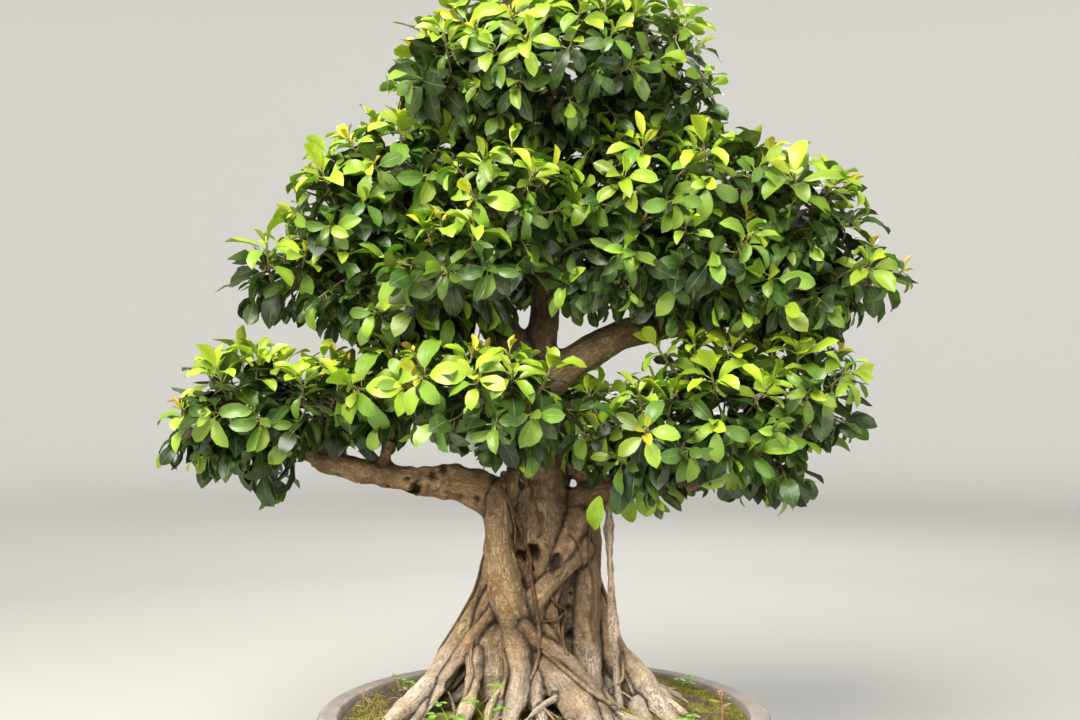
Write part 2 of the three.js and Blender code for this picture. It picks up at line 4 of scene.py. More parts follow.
import functools
import itertools
import math

import bpy
import numpy as np
from bpy.props import FloatProperty, FloatVectorProperty, IntProperty, PointerProperty
from bpy.types import Operator, Panel, PropertyGroup
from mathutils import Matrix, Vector


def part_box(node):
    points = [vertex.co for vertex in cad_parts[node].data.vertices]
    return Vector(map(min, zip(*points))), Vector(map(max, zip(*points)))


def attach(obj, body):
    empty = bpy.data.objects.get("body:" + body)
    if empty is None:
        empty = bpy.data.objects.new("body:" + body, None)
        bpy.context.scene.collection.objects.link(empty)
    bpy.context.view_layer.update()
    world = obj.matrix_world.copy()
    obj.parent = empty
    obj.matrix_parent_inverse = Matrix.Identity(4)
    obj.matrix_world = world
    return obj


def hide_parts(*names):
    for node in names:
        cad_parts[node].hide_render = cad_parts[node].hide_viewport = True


bl_info = {
    "name": "Ficus Ginseng Bonsai",
    "version": (1, 0, 0),
    "blender": (4, 5, 0),
    "location": "View3D > Sidebar > Bonsai",
    "description": "Builds the wood, leaves, soil and pot of a ficus bonsai round its CAD frame",
    "category": "Add Mesh",
}

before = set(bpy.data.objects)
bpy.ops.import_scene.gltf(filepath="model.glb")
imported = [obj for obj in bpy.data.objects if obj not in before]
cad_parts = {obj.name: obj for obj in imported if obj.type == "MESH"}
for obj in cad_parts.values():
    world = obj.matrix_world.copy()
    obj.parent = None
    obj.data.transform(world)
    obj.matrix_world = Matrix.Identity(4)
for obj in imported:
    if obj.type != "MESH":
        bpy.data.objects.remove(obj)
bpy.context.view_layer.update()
POT_LOW, POT_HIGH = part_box("pot")
MIDDLE = 1000 * np.array([(POT_LOW.x + POT_HIGH.x) / 2, (POT_LOW.y + POT_HIGH.y) / 2, 0])

# Pot and soil, as in the CAD source
POT_RADIUS = 500 * (POT_HIGH.x - POT_LOW.x)
POT_HEIGHT = 1000 * POT_HIGH.z
POT_MOUTH_RADIUS = 246
POT_FLOOR = 24
POT_UNDERSIDE = 12
RIM_DEPTH = 20
RIM_ROUNDING = 9
RIM_OVERHANG = 11
WALL_LIP, WALL_BEND, WALL_FOOT = 3, 12, 56
FOOT_OUTER_RADIUS = 206
FOOT_INNER_RADIUS = 182
FOOT_NOTCH_WIDTH = 70
FOOT_NOTCH_HEIGHT = 9
FOOT_NOTCH_COUNT = 4
DRAIN_RADIUS = 18
SOIL_EDGE = 95
SOIL_TOP = 121
SOIL_ROUGHNESS = 3
SOIL_GAP = 0.3  # between the soil and the pot's wall
SOIL_RADIUS = POT_MOUTH_RADIUS - WALL_LIP - SOIL_GAP

# Shoots and leaves, as in the CAD source
LEAF_LENGTH = 56
LEAF_TILT_LEAST, LEAF_TILT_SPREAD = 52, 24
LEAF_REACH_LEAST, LEAF_REACH_SPREAD = 0.9, 0.2
LEAF_SWING = 0.25
WHORL = 5
WHORL_SIZE_LEAST, WHORL_SIZE_SPREAD = 0.9, 0.2
TWIG_LENGTH = 12
CAD_SHOOT_SPACING = 80
CAD_SHOOT_TRIALS = 260
SHOOT_LIFT = 0.35
SHOOT_SPAN = 1.9
PLASTIC = 1.2207440846057596  # the root that spreads points evenly over three ranges
EVEN_SHARES = (0.754877666, 0.569840296)  # and the shares that do so over two

# What only the looks have
SHOOT_TRIALS = 3600  # places tried for shoots in each pad
INNER_SHARE = 0.0135  # leaves inside a pad for each square millimetre of its lobes' plan
LEAF_THICKNESS = 0.5
HERB_THICKNESS = 0.35  # leaves of clover and of the sprout
BACK_STRAND_COUNT = 18
ROOTLET_COUNT = 64
GRASS_COUNT = 70
TRUNK_MIDDLE = np.array([-7, 4])
ROOT_HEIGHT = 150  # wood below this height lies on the soil or close to it
UP = np.array([0.0, 0.0, 1.0])

# Roots, trunk strands and branches: rows are a place on the middle line and the radius, [x, y, z, r]
STRANDS = {
    "core": [[-4, 0, 74, 50], [-5, 3, 115, 64], [-6, 5, 175, 60], [-7, 3, 235, 54], [-7, 2, 295, 48],
        [-7, 3, 343, 43], [-8, 5, 392, 34], [-11, 6, 440, 31], [-16, 6, 482, 29], [-19, 6, 512, 25]],
    "left_flank": [[-54, -8, 357, 17], [-57, -12, 321, 15], [-60, -15, 284, 14], [-69, -18, 245, 14],
        [-84, -22, 210, 15], [-103, -30, 180, 16], [-122, -42, 154, 16], [-148, -58, 130, 14],
        [-176, -72, 110, 10], [-198, -85, 92, 5]],
    "left_front": [[-48, -30, 363, 16], [-52, -42, 325, 17], [-49, -52, 286, 20], [-42, -60, 246, 21],
        [-31, -66, 219, 18], [-29, -76, 186, 13], [-29, -92, 156, 12], [-36, -112, 130, 11],
        [-43, -140, 107, 8], [-48, -165, 88, 4]],
    "front_diagonal": [[-31, -66, 227, 14], [-14, -74, 208, 11], [9, -80, 193, 11], [32, -84, 173, 11],
        [52, -92, 150, 11], [62, -108, 129, 11], [68, -130, 108, 9], [73, -155, 90, 4]],
    "right_column": [[47, 0, 332, 15], [53, -8, 303, 16], [51, -16, 262, 17], [48, -24, 222, 17],
        [49, -32, 188, 17], [54, -42, 161, 15], [62, -60, 131, 12]],
    "cross_strand": [[47, -22, 301, 12], [33, -34, 287, 11], [14, -46, 270, 11], [-2, -54, 255, 13],
        [-13, -58, 241, 14], [-15, -60, 217, 10]],
    "middle_strand": [[64, 2, 368, 15], [47, -6, 351, 17], [33, -16, 328, 18], [22, -28, 302, 17],
        [14, -38, 275, 14], [7, -46, 249, 12], [9, -50, 216, 11], [14, -56, 182, 11]],
    "right_flank": [[56, 15, 263, 10], [60, 10, 240, 14], [65, 2, 214, 16], [74, -8, 186, 19],
        [90, -20, 162, 21], [114, -35, 140, 19], [134, -52, 119, 13], [152, -70, 98, 7]],
    "front_right": [[1, -60, 200, 16], [7, -72, 177, 19], [20, -88, 156, 20], [37, -108, 136, 19],
        [50, -135, 116, 15], [60, -165, 98, 9], [65, -190, 86, 4]],
    "left_crossing": [[-48, -52, 245, 9], [-68, -50, 219, 8], [-86, -50, 196, 7], [-101, -54, 173, 7],
        [-116, -60, 155, 6], [-125, -70, 135, 6], [-138, -84, 115, 5], [-150, -98, 98, 3]],
    "left_inner": [[-77, -52, 181, 10], [-82, -64, 157, 10], [-85, -84, 137, 10], [-93, -108, 118, 9],
        [-102, -130, 101, 6], [-107, -150, 90, 3]],
    "left_bulge": [[-55, -30, 241, 20], [-61, -34, 207, 22], [-62, -38, 172, 22], [-59, -44, 144, 18],
        [-51, -50, 122, 10]],
    "fork_left": [[-37, -78, 163, 6], [-50, -90, 150, 5], [-61, -100, 134, 5], [-64, -116, 118, 4],
        [-66, -135, 102, 3]],
    "fork_right": [[-44, -84, 155, 5], [-47, -98, 140, 5], [-53, -115, 122, 4], [-54, -135, 104, 3]],
    "front_middle": [[-5, -78, 167, 10], [-8, -92, 150, 9], [-5, -112, 130, 9], [1, -140, 110, 7],
        [4, -165, 92, 4]],
    "front_crossing": [[24, -104, 153, 4], [4, -112, 142, 5], [-14, -122, 131, 4], [-27, -136, 118, 4],
        [-36, -152, 100, 3]],
    "far_right": [[58, -66, 136, 8], [68, -84, 131, 7], [84, -99, 125, 6], [102, -108, 119, 6],
        [128, -116, 110, 5], [150, -122, 98, 4]],
    "aerial_root": [[78, -24, 366, 6], [77, -28, 340, 5.5], [77, -32, 300, 5], [79, -37, 250, 5],
        [82, -44, 200, 5.5], [84, -52, 150, 6], [86, -57, 118, 6.5], [87, -60, 96, 4]],
    "back_left": [[-42, 25, 300, 16], [-62, 55, 215, 18], [-80, 88, 152, 16], [-105, 125, 114, 11],
        [-122, 152, 94, 5]],
    "back_middle": [[0, 35, 300, 18], [2, 60, 225, 21], [5, 85, 160, 20], [10, 120, 119, 14],
        [14, 158, 94, 6]],
    "back_right": [[42, 22, 290, 15], [58, 48, 222, 18], [80, 75, 160, 17], [105, 105, 121, 12],
        [126, 132, 96, 5]],
    "side_left": [[-66, 8, 245, 12], [-95, 28, 182, 13], [-130, 46, 131, 12], [-165, 60, 106, 7],
        [-188, 68, 92, 4]],
    "side_right": [[48, 20, 240, 14], [72, 36, 182, 15], [108, 47, 136, 14], [148, 54, 111, 9],
        [182, 60, 94, 4]],
    "leader": [[-18, 6, 500, 27], [-7, 12, 536, 22], [1, 16, 585, 19], [2, 18, 633, 17], [-1, 18, 682, 15],
        [4, 14, 736, 13], [8, 10, 790, 10], [13, 4, 843, 7], [19, 0, 890, 4]],
    "branch_lower_left": [[-34, 0, 341, 27], [-65, -5, 360, 26], [-94, -12, 375, 22], [-124, -18, 380, 19],
        [-153, -22, 384, 16], [-182, -26, 387, 14], [-217, -30, 394, 13], [-252, -34, 403, 12],
        [-298, -36, 418, 10], [-345, -36, 435, 8], [-385, -34, 446, 5]],
    "branch_lower_right": [[26, 0, 346, 22], [57, -12, 362, 17], [87, -28, 372, 14], [125, -34, 376, 13],
        [172, -34, 381, 11], [225, -30, 394, 9], [282, -24, 414, 6]],
    "branch_upper_right": [[-10, 2, 486, 25], [22, 0, 512, 23], [58, 2, 536, 22], [98, 4, 555, 19],
        [140, 4, 564, 16], [194, 2, 570, 13], [253, 0, 582, 10], [313, -4, 602, 8], [360, -6, 616, 5]],
    "branch_upper_left": [[-16, 6, 510, 26], [-41, 4, 542, 24], [-59, 2, 572, 21], [-75, 2, 594, 17],
        [-103, 2, 606, 13], [-149, 0, 612, 11], [-203, -2, 618, 9], [-256, -6, 626, 7], [-306, -8, 630, 4]],
    "branch_upper_front": [[-40, 4, 545, 15], [-62, -25, 585, 12], [-82, -60, 615, 9], [-93, -88, 636, 6]],
    "branch_lower_front": [[-12, 0, 440, 18], [-18, -35, 452, 15], [-30, -75, 465, 11], [-40, -110, 478, 7],
        [-45, -133, 484, 5]],
    "branch_lower_back": [[-14, 10, 445, 18], [-22, 45, 450, 14], [-34, 85, 462, 10], [-46, 125, 475, 6]],
    "branch_upper_back": [[0, 16, 575, 16], [12, 45, 605, 13], [25, 80, 640, 10], [34, 115, 670, 6]],
    "branch_top_left": [[1, 16, 640, 13], [-40, 16, 668, 11], [-90, 14, 700, 9], [-135, 12, 733, 7],
        [-165, 10, 752, 4]],
    "branch_top_right": [[-1, 18, 665, 13], [40, 8, 688, 11], [85, -10, 702, 9], [130, -18, 716, 6],
        [172, -14, 726, 4]],
    "fork_upper_right": [[128, 4, 562, 11], [158, -18, 596, 8], [172, -36, 630, 5]],
    "fork_lower_right": [[122, -34, 377, 9], [162, -34, 408, 7], [202, -32, 438, 4]],
    "fork_lower_left": [[-196, -28, 389, 9], [-180, -34, 430, 7], [-174, -42, 476, 4]],
    "fork_outer_left": [[-256, -34, 404, 9], [-264, -36, 438, 6], [-262, -36, 464, 4]],
}

# Leafy pads: rows are a lobe that shoots grow from, its middle and its half sizes, [x, y, z, rx, ry, rz]
PADS = {
    "crown": [[14, 0, 868, 122, 113, 74], [-104, -10, 858, 50, 74, 44], [132, 5, 896, 38, 64, 38],
        [-62, 20, 912, 44, 70, 32], [152, 5, 838, 36, 54, 30]],
    "upper_left": [[-172, 10, 750, 72, 78, 42], [-236, 0, 692, 48, 70, 52], [-308, -5, 626, 54, 54, 18],
        [-224, -10, 618, 58, 64, 32], [-139, 30, 692, 48, 62, 44], [-132, 0, 600, 56, 56, 22]],
    "upper_front": [[-92, -98, 634, 60, 50, 32], [-44, -82, 700, 52, 50, 48]],
    "upper_right": [[108, -30, 718, 62, 72, 56], [208, -5, 730, 68, 80, 42], [302, 0, 695, 50, 74, 50],
        [376, 0, 620, 40, 50, 22], [173, -45, 642, 80, 54, 40], [296, -5, 616, 60, 62, 36],
        [76, -52, 650, 42, 46, 42]],
    "lower_left": [[-350, -25, 470, 54, 78, 40], [-396, -30, 446, 34, 52, 19], [-350, -25, 426, 36, 54, 28],
        [-264, -35, 472, 56, 72, 32], [-172, -45, 490, 60, 64, 28]],
    "lower_front": [[-46, -132, 478, 66, 48, 38], [-108, -116, 504, 36, 40, 20]],
    "lower_right": [[130, -52, 436, 54, 60, 38], [213, -30, 458, 60, 78, 54], [300, -10, 486, 54, 70, 46],
        [266, -25, 418, 42, 56, 26], [112, -60, 402, 28, 32, 24]],
    "lower_back": [[-50, 134, 476, 76, 60, 38], [28, 126, 450, 46, 50, 40]],
    "upper_back": [[37, 126, 682, 82, 54, 50], [-36, 122, 656, 46, 46, 32]],
}

# Smaller sprays that only the looks add, in the gaps between the pads: rows as above
SPRAYS = {
    "crown": [[-30, 30, 778, 60, 60, 36]],
    "upper_left": [[-150, -30, 574, 72, 46, 20]],
    "upper_right": [[215, -25, 594, 84, 46, 20], [48, -44, 606, 32, 22, 18]],
    "lower_right": [[190, -36, 520, 50, 34, 16], [66, -46, 436, 26, 26, 44]],
}

# Leaves that hang below a pad, from the wood near the trunk: rows [x, y, z, length, lean, age]
HANGING = {"lower_right": [[64, -66, 368, 44, -0.22, 0.38], [96, -60, 372, 40, 0.12, 0.5],
                           [108, -56, 374, 38, 0.5, 0.56], [84, -56, 378, 36, 0.0, 0.8],
                           [150, -50, 388, 36, 0.2, 0.7]]}

# Thin roots that lie on the trunk, each seen from a side: the view's angle, the radius, and rows [across, z]
VINES = [
    (0, 2.6, [[-43, 408], [-41, 366], [-31, 331], [-21, 308], [-16, 293], [-16, 273], [-9, 235], [-5, 209],
        [-8, 186], [-16, 160]]),
    (0, 1.6, [[-23, 397], [-16, 377], [-9, 354], [-3, 327], [-9, 313]]),
    (0, 1.8, [[7, 252], [18, 238], [24, 229], [22, 205], [27, 186]]),
    (0, 1.5, [[30, 319], [42, 304], [46, 280]]),
    (0, 3.0, [[-3, 194], [20, 177], [46, 158], [76, 138], [90, 130]]),
    (0, 2.0, [[84, 205], [92, 182], [91, 156], [84, 146]]),
    (0, 2.2, [[-80, 206], [-85, 183], [-83, 163], [-90, 140]]),
    (0, 1.6, [[-4, 223], [13, 223], [23, 229]]),
    (0, 2.4, [[-46, 188], [-43, 169], [-45, 157], [-50, 140]]),
    (0, 1.7, [[-38, 384], [-47, 392], [-52, 380], [-44, 366], [-36, 340], [-34, 310]]),
    (0, 1.6, [[56, 340], [52, 300], [58, 262], [54, 228], [60, 190]]),
    (90, 2.4, [[-4, 330], [4, 280], [-2, 230], [8, 180], [0, 140]]),
    (90, 1.8, [[20, 300], [28, 250], [22, 205], [36, 160]]),
    (180, 2.6, [[-30, 380], [-22, 330], [-30, 280], [-18, 230], [-26, 180], [-20, 140]]),
    (180, 2.0, [[26, 360], [18, 310], [27, 262], [20, 215], [34, 170]]),
    (180, 1.8, [[-5, 300], [6, 260], [-2, 215], [5, 170]]),
    (270, 2.4, [[-24, 340], [-16, 290], [-26, 240], [-14, 190], [-24, 150]]),
    (270, 1.8, [[18, 300], [26, 255], [16, 210], [30, 165]]),
]

# Hollows in the wood: middle, radius and depth
HOLLOWS = [(-13, -48, 299, 7, 20), (-15, -52, 281, 4, 14), (12, -46, 285, 7, 12), (30, -48, 232, 5, 14),
           (30, -52, 200, 5, 14), (-150, -54, 371, 8, 22), (-36, -44, 352, 5, 6),
           (-132, -38, 390, 4.5, 8), (-118, -36, 398, 5, 8), (-78, -32, 360, 4, 5), (20, -34, 398, 5, 6),
           (56, -88, 128, 7, 10)]

# A cut stub on the lower left branch, with a hollow end
STUB = [[-148, -22, 382, 16], [-150, -36, 376, 14], [-150, -46, 373, 11]]

# Weeds: x, y, height, length of a leaflet and the way that the first stalk leans, in radians
CLOVERS = {"clover_front": (-58, -186, 30, 15, 3.6), "clover_left": (-112, -142, 26, 13, 2.4)}
SMALL_CLOVERS = [
    (-62, -152, 54, 10, 1.2), (-99, -150, 42, 10, 2.6), (-86, -176, 20, 9, 1.0), (-30, -196, 16, 8, 2.0),
    (124, -140, 18, 9, 0.4), (150, -120, 20, 9, 5.2), (168, -96, 16, 8, 1.3), (-150, -120, 16, 8, 4.0),
    (60, 170, 20, 9, 1.5), (-90, 175, 22, 10, 2.2), (-170, 70, 16, 8, 3.0), (180, 90, 18, 9, 0.7),
    (130, 160, 15, 8, 5.0),
]
SPROUT = (205, -62, 36, 1.4, 17)  # x, y, height, radius of the stem and length of a leaf

# The camera, which stands where the photograph was taken from
SENSOR_WIDTH = 36
PHOTO_PIXELS = 1080  # width of the photograph
FOCAL_PIXELS = 1360  # its focal length
CAMERA_ASIDE = 4.8  # how far the camera stands to the left of the pot's middle


def linear(colour):
    """An sRGB hex colour as linear red, green, blue and alpha."""
    parts = [int(colour[at : at + 2], 16) / 255 for at in (1, 3, 5)]
    return (*[p / 12.92 if p <= 0.04045 else ((p + 0.055) / 1.055) ** 2.4 for p in parts], 1.0)


def tint(name, about, colour):
    """A colour property of a settings group."""
    return FloatVectorProperty(
        name=name, description=about, subtype="COLOR", size=4, min=0, max=1, default=linear(colour)
    )


def length(name, about, millimetres):
    """A length property of a settings group, kept in metres."""
    return FloatProperty(name=name, description=about, unit="LENGTH", min=0, default=millimetres / 1000)


# Numbers and noise


def fraction(value):
    """The part of a number after its point."""
    return value - np.floor(value)


def scatter(index, salt):
    """A repeatable number from 0 to 1 for an index: the fraction of a large sine."""
    return fraction(np.sin(np.asarray(index) * 12.9898 + salt * 78.233) * 43758.5453)


def unit(vectors):
    """Vectors brought to length 1."""
    return vectors / np.maximum(np.linalg.norm(vectors, axis=-1, keepdims=True), 1e-9)


def ease(value, low, high):
    """0 below low, 1 above high, and an s-curve between them."""
    part = np.clip((value - low) / (high - low), 0, 1)
    return part * part * (3 - 2 * part)


def noise(points, size, salt=0.0):
    """Smooth noise from -1 to 1: random values at the corners of cubes of that size, blended by s-curves."""
    scaled = np.asarray(points, float) / size
    cell = np.floor(scaled)
    part = scaled - cell
    part = part * part * (3 - 2 * part)
    total = 0
    for corner in itertools.product((0, 1), repeat=3):
        weight = np.prod(np.where(corner, part, 1 - part), axis=-1)
        hashed = np.sin((cell + corner) @ np.array([12.9898, 78.233, 37.719]) + salt * 3.7) * 43758.5453
        total = total + weight * fraction(hashed)
    return 2 * total - 1


def layered(points, size, layers, salt=0.0):
    """Noise in layers, each half the size and half the strength of the one before."""
    return sum(noise(points, size / 2**k, salt + k) / 2**k for k in range(layers))


def turns(count):
    """Angles at equal steps round a full circle."""
    return 2 * np.pi * np.arange(count) / count


def square_to(vectors, ahead):
    """Vectors turned square to others, within the plane of both, at length 1."""
    return unit(vectors - ahead * (vectors * ahead).sum(1)[:, None])


def distance_along(line):
    """How far along a line of points each of them lies."""
    return np.concatenate([[0], np.cumsum(np.linalg.norm(np.diff(line, axis=0), axis=1))])


# Surfaces, as (points, [arrays of face corners])


def merge(surfaces):
    """Several surfaces as one, with their faces' corners moved along."""
    points = np.concatenate([s[0] for s in surfaces])
    starts = np.cumsum([0] + [len(s[0]) for s in surfaces[:-1]])
    faces = [f + start for s, start in zip(surfaces, starts) for f in s[1]]
    return points, [np.concatenate([f for f in faces if f.shape[1] == n]) for n in (3, 4)
                    if any(f.shape[1] == n for f in faces)]


def closed_rings(rings, first, last):
    """A surface over rings of corners, closed by a point before the first ring and one after the last."""
    count, sides = rings.shape[:2]
    side = np.arange(sides)
    following = (side + 1) % sides
    row = np.arange(count - 1)[:, None] * sides
    quads = np.stack([row + side, row + following, row + sides + following, row + sides + side], -1)
    base = count * sides
    caps = np.concatenate([
        np.stack([np.full(sides, base), following, side], -1),
        np.stack([np.full(sides, base + 1), base - sides + side, base - sides + following], -1),
    ])
    points = np.concatenate([rings.reshape(-1, 3), [first], [last]])
    return points, [caps, quads.reshape(-1, 4)]


def swung(profile, turn):
    """A profile of radius and height swung round the axis: a row of points for each of its places."""
    radius, height = profile[:, :1], profile[:, 1:]
    level = np.broadcast_to(height, (len(profile), len(turn)))
    return np.stack([radius * np.cos(turn), radius * np.sin(turn), level], -1)


def bezier(first, pull, last, steps):
    """Points on a curve of second degree from one corner to another, pulled towards the one between them."""
    first, pull, last = np.array([first, pull, last], float)
    t = np.linspace(0, 1, steps)[:, None]
    return (1 - t) ** 2 * first + 2 * t * (1 - t) * pull + t**2 * last


def curve_through(rows, steps):
    """Rows on a smooth curve through the given rows: on each span a cubic whose slopes at its ends are half
    of the step from the row before to the row after."""
    rows = np.asarray(rows, float)
    padded = np.vstack([2 * rows[0] - rows[1], rows, 2 * rows[-1] - rows[-2]])
    spans = len(rows) - 1
    place = np.linspace(0, spans, steps)
    span = np.minimum(place.astype(int), spans - 1)
    t = (place - span)[:, None]
    a, b, c, d = (padded[span + k] for k in range(4))
    return b + 0.5 * t * (c - a + t * (2 * a - 5 * b + 4 * c - d + t * (3 * (b - c) + d - a)))


def frames_along(line):
    """For a line of points: its direction, and two directions square to it. The first of those is square to
    the plane that the line strays least from."""
    along = unit(np.gradient(line, axis=0))
    least = np.linalg.svd(line - line.mean(0))[2][2]
    side = unit(np.cross(along, least))
    return along, side, np.cross(along, side)


def tube(rows, sides, steps, lumps=0.0, salt=0.0):
    """A tapering tube along a smooth curve: rings square to the curve, of the curve's radius times one plus
    lumps of noise drawn out along it, and closed by blunt points."""
    path = curve_through(rows, steps)
    line, radius = path[:, :3], np.maximum(path[:, 3], 0.4)
    along, side, other = frames_along(line)
    turn = turns(sides)
    ring = np.cos(turn)[:, None, None] * side + np.sin(turn)[:, None, None] * other
    ring = ring.transpose(1, 0, 2)
    spread = radius[:, None]
    if lumps:
        drawn_out = np.broadcast_to(0.3 * distance_along(line)[:, None], (steps, sides))
        local = np.stack([np.cos(turn) * spread, np.sin(turn) * spread, drawn_out], -1) + 90 * salt
        spread = spread * (1 + lumps * layered(local, 16, 2, salt))
    rings = line[:, None] + ring * spread[..., None]
    return closed_rings(rings, line[0] - along[0] * radius[0] / 2, line[-1] + along[-1] * radius[-1] / 2)


# Pieces


def read_mesh(items, field, width=1, kind=np.int32):
    """One field of a mesh's points, edges, faces or corners as an array, with that many numbers for each."""
    values = np.zeros(width * len(items), kind)
    items.foreach_get(field, values)
    return values.reshape(-1, width) if width > 1 else values


def points_of(mesh):
    """A mesh's points in millimetres from the pot's middle."""
    return read_mesh(mesh.vertices, "co", 3, np.float32) * 1000 - MIDDLE


def faces_of(mesh):
    """The corners of a mesh's triangles and of its quads."""
    sizes, corners = read_mesh(mesh.polygons, "loop_total"), read_mesh(mesh.loops, "vertex_index")
    starts = np.concatenate([[0], np.cumsum(sizes)[:-1]])
    return [corners[starts[sizes == n][:, None] + np.arange(n)] for n in (3, 4) if (sizes == n).any()]


def make_piece(name, shape, material, attributes=None, smooth=True, sharp=None):
    """A mesh object at the origin from a surface in millimetres, with attributes for its points. An edge whose
    two ends are both sharp stays sharp."""
    points, faces = shape
    mesh = bpy.data.meshes.new(name)
    corners = np.concatenate([f.ravel() for f in faces])
    sizes = np.concatenate([np.full(len(f), f.shape[1]) for f in faces])
    mesh.vertices.add(len(points))
    mesh.vertices.foreach_set("co", ((points + MIDDLE) / 1000).astype(np.float32).ravel())
    mesh.loops.add(len(corners))
    mesh.loops.foreach_set("vertex_index", corners.astype(np.int32))
    mesh.polygons.add(len(sizes))
    mesh.polygons.foreach_set("loop_start", np.concatenate([[0], np.cumsum(sizes)[:-1]]).astype(np.int32))
    mesh.update(calc_edges=True)
    mesh.polygons.foreach_set("use_smooth", np.full(len(sizes), smooth))
    for key, values in (attributes or {}).items():
        values = np.asarray(values, np.float32)
        kind, field = ("FLOAT", "value") if values.ndim == 1 else ("FLOAT_VECTOR", "vector")
        mesh.attributes.new(key, kind, "POINT").data.foreach_set(field, values.ravel())
    if sharp is not None:
        rim = sharp[read_mesh(mesh.edges, "vertices", 2)].all(1)
        mesh.attributes.new("sharp_edge", "BOOLEAN", "EDGE").data.foreach_set("value", rim)
    mesh.validate()
    if material:
        mesh.materials.append(material)
    piece = bpy.data.objects.new(name, mesh)
    bpy.context.scene.collection.objects.link(piece)
    return piece


def hand_over(piece, slot, *nodes):
    """Hangs a finished piece on the frame's root body and hides the CAD parts that it stands for. Its slot is
    not used.
    """
    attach(piece, "root")
    if nodes:
        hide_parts(*nodes)


# Materials


def paint(value):
    """A colour from hex text. Anything else stays as it is."""
    return linear(value) if isinstance(value, str) else value


def add_node(tree, kind, inputs=(), result=0, stops=(), **settings):
    """Adds a node with its settings and, for a ramp, its stops of place and colour. Inputs go by name or
    number or in order, and each is a value, a colour as hex text or a socket to link. Gives the output of
    that name or number. A Mix node for colours has them at its inputs 6 and 7 and its output 2."""
    node = tree.nodes.new("ShaderNode" + kind)
    for key, value in settings.items():
        setattr(node, key, value)
    for key, value in inputs.items() if isinstance(inputs, dict) else enumerate(inputs):
        if isinstance(value, bpy.types.NodeSocket):
            tree.links.new(value, node.inputs[key])
        else:
            node.inputs[key].default_value = paint(value)
    if stops:
        elements = node.color_ramp.elements
        while len(elements) < len(stops):
            elements.new(0.5)
        for element, (place, colour) in zip(elements, stops):
            element.position = place
            element.color = paint(colour)
    return node.outputs[result] if node.outputs else None


def new_material(name):
    """An empty node material, the function that adds nodes to it, and the place on the object in metres."""
    material = bpy.data.materials.new(name)
    material.use_nodes = True
    material.node_tree.nodes.clear()
    add = functools.partial(add_node, material.node_tree)
    return material, add, add("TexCoord", result="Object")


def lumps_of(vector, millimetres, detail=3.0, roughness=0.55, distortion=0.0):
    """What noise on coordinates in metres takes in for lumps of up to about that many millimetres."""
    return {"Vector": vector, "Scale": 1000 / millimetres, "Detail": detail, "Roughness": roughness,
            "Distortion": distortion}


def cover(add, colour, where, strength, second):
    """A colour with a second one laid over it where a mask says, at most that strongly."""
    share = add("Math", (where, strength), operation="MULTIPLY")
    return add("Mix", {0: share, 6: colour, 7: second}, 2, data_type="RGBA")


def weighted(add, *terms):
    """The sum of values, each times its weight."""
    total = 0.0
    for value, weight in terms:
        total = add("Math", (value, weight, total), operation="MULTIPLY_ADD")
    return total


def surface(add, colour, roughness, height=None, depth=0.5, **sockets):
    """A Principled surface with that colour and roughness, and bump from a height of that depth in mm."""
    inputs = {"Base Color": colour, "Roughness": roughness, **sockets}
    if height is not None:
        inputs["Normal"] = add("Bump", {"Height": height, "Strength": 1.0, "Distance": depth / 1000})
    return add("BsdfPrincipled", inputs)


def clay_material(settings):
    """Unglazed stoneware: matt grey-brown clay with grit, paler wear on its edges and lime stains. The grit
    is drawn coarser than it is, so that it shows."""
    material, add, place = new_material("stoneware_unglazed")
    clouds = add("TexNoise", lumps_of(place, 70, 4))
    grit = add("TexNoise", lumps_of(place, 1.6, 2))
    stain = add("TexNoise", lumps_of(place, 22, 5, 0.7, 0.6))
    body = add("ValToRGB", [clouds], stops=[(0.3, settings.dark), (0.7, settings.colour)])
    specks = add("ValToRGB", [grit], stops=[(0.35, "#6f655d"), (0.5, "#8d827a"), (0.66, "#b0a79d")])
    body = add("Mix", {0: 0.3, 6: body, 7: specks}, 2, data_type="RGBA")
    stained = add("ValToRGB", [stain], stops=[(0.52, "#000000"), (0.72, "#ffffff")])
    body = cover(add, body, stained, 0.35, "#b9b2a8")
    body = cover(add, body, add("Attribute", result="Fac", attribute_name="wear"), 0.45, "#bdb5ab")
    roughness = add("Math", (grit, 0.15, 0.74), operation="MULTIPLY_ADD")
    height = weighted(add, (grit, 0.5), (clouds, 1.0))
    add("OutputMaterial", [surface(add, body, roughness, height, 0.5)])
    return material


def plain_material(name, stops, size, roughness, depth, detail=3.0):
    """A material whose colour and bump both come from one noise of that size in mm: moulded black
    polyethylene with faint dust, thin young bark, soft herb leaves and stems, and grains of soil."""
    material, add, place = new_material(name)
    clouds = add("TexNoise", lumps_of(place, size, detail))
    colour = add("ValToRGB", [clouds], stops=stops)
    add("OutputMaterial", [surface(add, colour, roughness, clouds, depth)])
    return material


